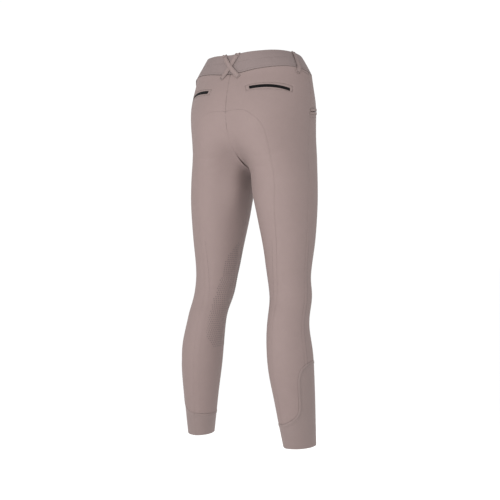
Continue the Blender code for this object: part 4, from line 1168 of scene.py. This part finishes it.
def build_button():
    """A four-hole button on the lapped end of the band, at the centre front, sewn with thread."""
    middle, normal = band_surface(180.0, 0.5)
    rings = [ring(radius, height, BUTTON_SIDES) for radius, height in BUTTON_PROFILE]
    disc = drilled(closed_mesh("button_blank", *tube(rings)),
                   [(x * BUTTON_HOLE_AT, y * BUTTON_HOLE_AT) for x in (-1, 1) for y in (-1, 1)])
    strands = np.array([(x * BUTTON_HOLE_AT + shift, 0.0, 0.00225) for x in (-1, 1)
                        for shift in (-0.00038, 0.0, 0.00038)])
    thread = make_mesh("button_thread", *placed(capsule(2 * BUTTON_HOLE_AT + 0.0009, 0.00024), strands,
                                                np.tile((0.0, 1.0, 0.0), (len(strands), 1)),
                                                np.tile(UP, (len(strands), 1))))
    turn = Vector(UP).rotation_difference(Vector(normal)).to_matrix().to_4x4()
    foot = middle + normal * (BAND_CLOTH + 2 * SEAM_GAP + LAID_ON_GAP)
    for mesh in (disc, thread):
        mesh.transform(Matrix.Translation(Vector(foot)) @ turn)
    add_piece(disc, "button", "button", "waist_button")
    add_piece(thread, "thread", "button")


def build_grip():
    """The printed grip inside the knees: rows of low dots, parted at the inseam."""
    back = np.radians([angle + 360 for angle, _ in GRIP_BACK_EDGE])
    heights = np.array([z for _, z in GRIP_BACK_EDGE])
    outline = np.concatenate((np.stack((back, heights), axis=1),
                              np.stack((3 * math.pi - back, heights), axis=1)[::-1]))
    places = inner_points(outline, DOT_PITCH)
    inseam = seam_along(INSEAM, TRACK_SPACING)
    places = places[nearest_distance(skin(*places.T), skin(*inseam.T)) > DOT_CLEAR]
    dot = [(0.0, 0.0, DOT_HEIGHT)]
    for share, height in ((0.45, 0.92), (0.82, 0.52), (1.0, -0.5)):
        dot += ring(DOT_RADIUS * share, DOT_HEIGHT * height, DOT_SIDES)
    faces = []
    for k in range(DOT_SIDES):
        after = (k + 1) % DOT_SIDES
        faces.append((0, 1 + k, 1 + after))
        faces += [(first + k, first + DOT_SIDES + k, first + DOT_SIDES + after, first + after)
                  for first in (1, 1 + DOT_SIDES)]
    faces.append(tuple(1 + 2 * DOT_SIDES + k for k in range(DOT_SIDES))[::-1])
    for sign, label in SIDES:
        here, out = skin_line(places, sign, 0.0)
        dots = placed((np.array(dot), faces), here, np.cross(out, UP), out)
        add_piece(make_mesh("grip_dots_" + label, *dots), "grip", "stretch_cloth")


# Materials, light, floor and camera

class Graph:
    """A material's nodes, added and joined in a few words."""

    def __init__(self, name):
        self.material = bpy.data.materials.new(name + "_look")
        self.material.use_nodes = True
        self.tree = self.material.node_tree
        self.shader = self.tree.nodes["Principled BSDF"]
        self.place = self.node("TexCoord").outputs["Object"]

    def node(self, kind, inputs=(), **settings):
        node = self.tree.nodes.new("ShaderNode" + kind)
        for key, value in settings.items():
            setattr(node, key, value)
        for key, value in dict(inputs).items():
            self.give(node.inputs[key], value)
        return node

    def give(self, socket, value):
        if isinstance(value, bpy.types.NodeSocket):
            self.tree.links.new(value, socket)
        else:
            socket.default_value = value

    def noise(self, scale, detail=2.0, roughness=0.5):
        return self.node("TexNoise", {"Vector": self.place, "Scale": scale, "Detail": detail,
                                      "Roughness": roughness}).outputs["Fac"]

    def weave(self, pitch_x, pitch_y, wander_x, wander_y):
        """Crossing rows along the cut cloth."""
        cut = self.node("UVMap", uv_map=CLOTH_LAYER).outputs["UV"]
        rows = [self.node("TexWave", {"Vector": cut, "Scale": math.pi / 10 / pitch, "Distortion": wander,
                                      "Detail": 1.0, "Detail Scale": 0.4}, wave_type="BANDS",
                          bands_direction=axis, wave_profile="SIN").outputs["Fac"]
                for axis, pitch, wander in (("X", pitch_x, wander_x), ("Y", pitch_y, wander_y))]
        return self.node("Math", {0: rows[0], 1: rows[1]}, operation="MULTIPLY").outputs[0]

    def ramp(self, factor, *stops):
        node = self.node("ValToRGB", {"Fac": factor})
        for mark, (place, colour) in zip(node.color_ramp.elements, stops):
            mark.position = place
            mark.color = (*colour, 1.0)
        return node.outputs["Color"]

    def range(self, value, low, high, start=0.0, end=1.0):
        return self.node("MapRange", {"Value": value, "From Min": start, "From Max": end, "To Min": low,
                                      "To Max": high}).outputs["Result"]

    def bump(self, height, distance, strength, *under):
        return self.node("Bump", {"Height": height, "Distance": distance, "Strength": strength,
                                  **{"Normal": normal for normal in under}}).outputs["Normal"]

    def finish(self, tone, stops, gloss, specular, normal, **more):
        """Join a tone to the colour and, through its range of gloss, to the roughness."""
        values = {"Base Color": self.ramp(tone, *stops), "Roughness": self.range(*gloss), "Normal": normal,
                  "Specular IOR Level": specular}
        values.update((key.replace("_", " "), value) for key, value in more.items())
        for key, value in values.items():
            self.give(self.shader.inputs[key], value)
        return self.material


def cloth_look(name):
    """Fine warp-knit stretch cloth: wales along the leg, slightly uneven yarns, a faint sheen."""
    dark, light, roughness, wale, course, knit_height, sheen = CLOTHS[name]
    graph = Graph(name)
    fibres = graph.noise(1500.0, 3.0, 0.65)
    tone = graph.node("Math", {0: graph.range(fibres, 0.0, 0.86, 0.28, 0.72),
                               1: graph.range(graph.noise(42.0, 3.0, 0.55), 0.0, 0.14, 0.3, 0.7)},
                      operation="ADD").outputs[0]
    slack = graph.bump(graph.noise(26.0), 0.0004, 0.25)
    fuzz = graph.bump(fibres, knit_height, 0.5, slack)
    knit = graph.bump(graph.weave(wale, course, 0.6, 0.8), knit_height, 0.6, fuzz)
    return graph.finish(tone, ((0.12, dark), (0.88, light)),
                        (fibres, roughness - 0.07, roughness + 0.07, 0.25, 0.75), 0.22, knit,
                        Sheen_Weight=sheen, Sheen_Roughness=0.5, Sheen_Tint=SHEEN_TINT)


def small_look(name, noise, dark, light, gloss, specular, relief, height=None):
    """Two tones and a range of roughness that follow one noise, over a low relief."""
    graph = Graph(name)
    cloud = graph.noise(*noise)
    surface = graph.bump(height(graph) if height else cloud, *relief)
    return graph.finish(cloud, (dark, light), (cloud, *gloss, 0.3, 0.7), specular, surface)


def button_look():
    """Cast resin with a faint swirl."""
    graph = Graph("button")
    swirl = graph.node("TexWave", {"Vector": graph.place, "Scale": 90.0, "Distortion": 7.0, "Detail": 2.0,
                                   "Detail Scale": 1.4}, wave_type="BANDS", bands_direction="DIAGONAL")
    swirl = swirl.outputs["Fac"]
    return graph.finish(swirl, ((0.1, (0.138, 0.108, 0.099)), (0.9, (0.216, 0.179, 0.167))),
                        (swirl, 0.26, 0.36), 0.5, graph.bump(graph.noise(600.0), 0.00003, 0.25),
                        Coat_Weight=0.2)


def from_behind(turn, distance, height):
    """A place at degrees from straight behind, towards the wearer's right."""
    return Vector((-math.sin(turn) * distance, math.cos(turn) * distance, height))


def facing(way):
    return way.to_track_quat("-Z", "Y").to_euler()


def build_camera():
    camera = add_object("camera", bpy.data.cameras.new("camera"))
    bpy.context.scene.camera = camera
    camera.data.sensor_width = SENSOR
    camera.data.lens = FOCAL_PIXELS * SENSOR / IMAGE_SIZE
    camera.data.shift_x = -(AXIS_PIXEL - IMAGE_SIZE / 2) / IMAGE_SIZE
    camera.location = from_behind(CAMERA_TURN, CAMERA_DISTANCE, CAMERA_HEIGHT)
    camera.rotation_euler = facing(-from_behind(CAMERA_TURN, 1.0, 0.0))


def build_light():
    """An even white studio, and a large soft key from the camera's left."""
    bpy.context.scene.view_settings.view_transform = "Standard"
    world = bpy.context.scene.world = bpy.data.worlds.new("studio")
    world.use_nodes = True
    background = world.node_tree.nodes["Background"].inputs
    background["Color"].default_value = (1, 1, 1, 1)
    background["Strength"].default_value = WORLD_STRENGTH
    for name, turn, height, distance, size, power in LIGHTS:
        lamp = bpy.data.lights.new(name, "AREA")
        lamp.shape = "DISK"
        lamp.size = size
        lamp.energy = power
        item = add_object(name, lamp)
        item.location = from_behind(math.radians(turn), distance, CAMERA_HEIGHT + height)
        item.rotation_euler = facing(Vector((0, 0, CAMERA_HEIGHT)) - item.location)


def build_floor():
    corners = [(x * FLOOR_REACH, y * FLOOR_REACH, FLOOR_Z) for x, y in ((-1, -1), (1, -1), (1, 1), (-1, 1))]
    floor = add_object("floor", make_mesh("floor", corners, [(0, 1, 2, 3)]))
    material = bpy.data.materials.new("floor_look")
    material.use_nodes = True
    shader = material.node_tree.nodes["Principled BSDF"].inputs
    shader["Base Color"].default_value = (FLOOR_TONE, FLOOR_TONE, FLOOR_TONE, 1)
    shader["Specular IOR Level"].default_value = 0.0
    shader["Roughness"].default_value = 1.0
    floor.data.materials.append(material)


LOOKS = {name: cloth_look(name) for name in CLOTHS}
LOOKS.update(
    # thread tones are darker than the cloth: partly the thread's own, partly painted shade of the sunk sewn
    # lines
    thread=small_look("thread", (2600.0, 2.0, 0.6), (0.3, (0.080, 0.061, 0.058)),
                      (0.7, (0.107, 0.082, 0.078)), (0.46, 0.62), 0.35, (0.00008, 0.5)),
    zip_tape=small_look("zip_tape", (1200.0, 2.0, 0.6), (0.3, (0.005, 0.005, 0.006)),
                        (0.75, (0.011, 0.010, 0.010)), (0.62, 0.8), 0.06, (0.00008, 0.6),
                        lambda graph: graph.weave(0.0006, 0.0007, 0.3, 0.3)),
    zip_coil=small_look("zip_coil", (700.0, 3.0, 0.6), (0.3, (0.004, 0.004, 0.005)),
                        (0.8, (0.010, 0.010, 0.010)), (0.30, 0.50), 0.08, (0.00004, 0.3)),
    # soft printed silicone, a shade darker than the cloth and a little glossier
    grip=small_look("grip", (300.0,), (0.25, (0.095, 0.072, 0.069)), (0.75, (0.112, 0.086, 0.082)),
                    (0.40, 0.54), 0.4, (0.00005, 0.3), lambda graph: graph.noise(900.0)),
    button=button_look())
PIECES = build_panels()
PIECES["waistband"] = build_waistband()
sew_waistband()
build_loops()
build_pockets()
PIECES["fly"] = build_fly()
build_button()
build_grip()
build_camera()
build_light()
build_floor()
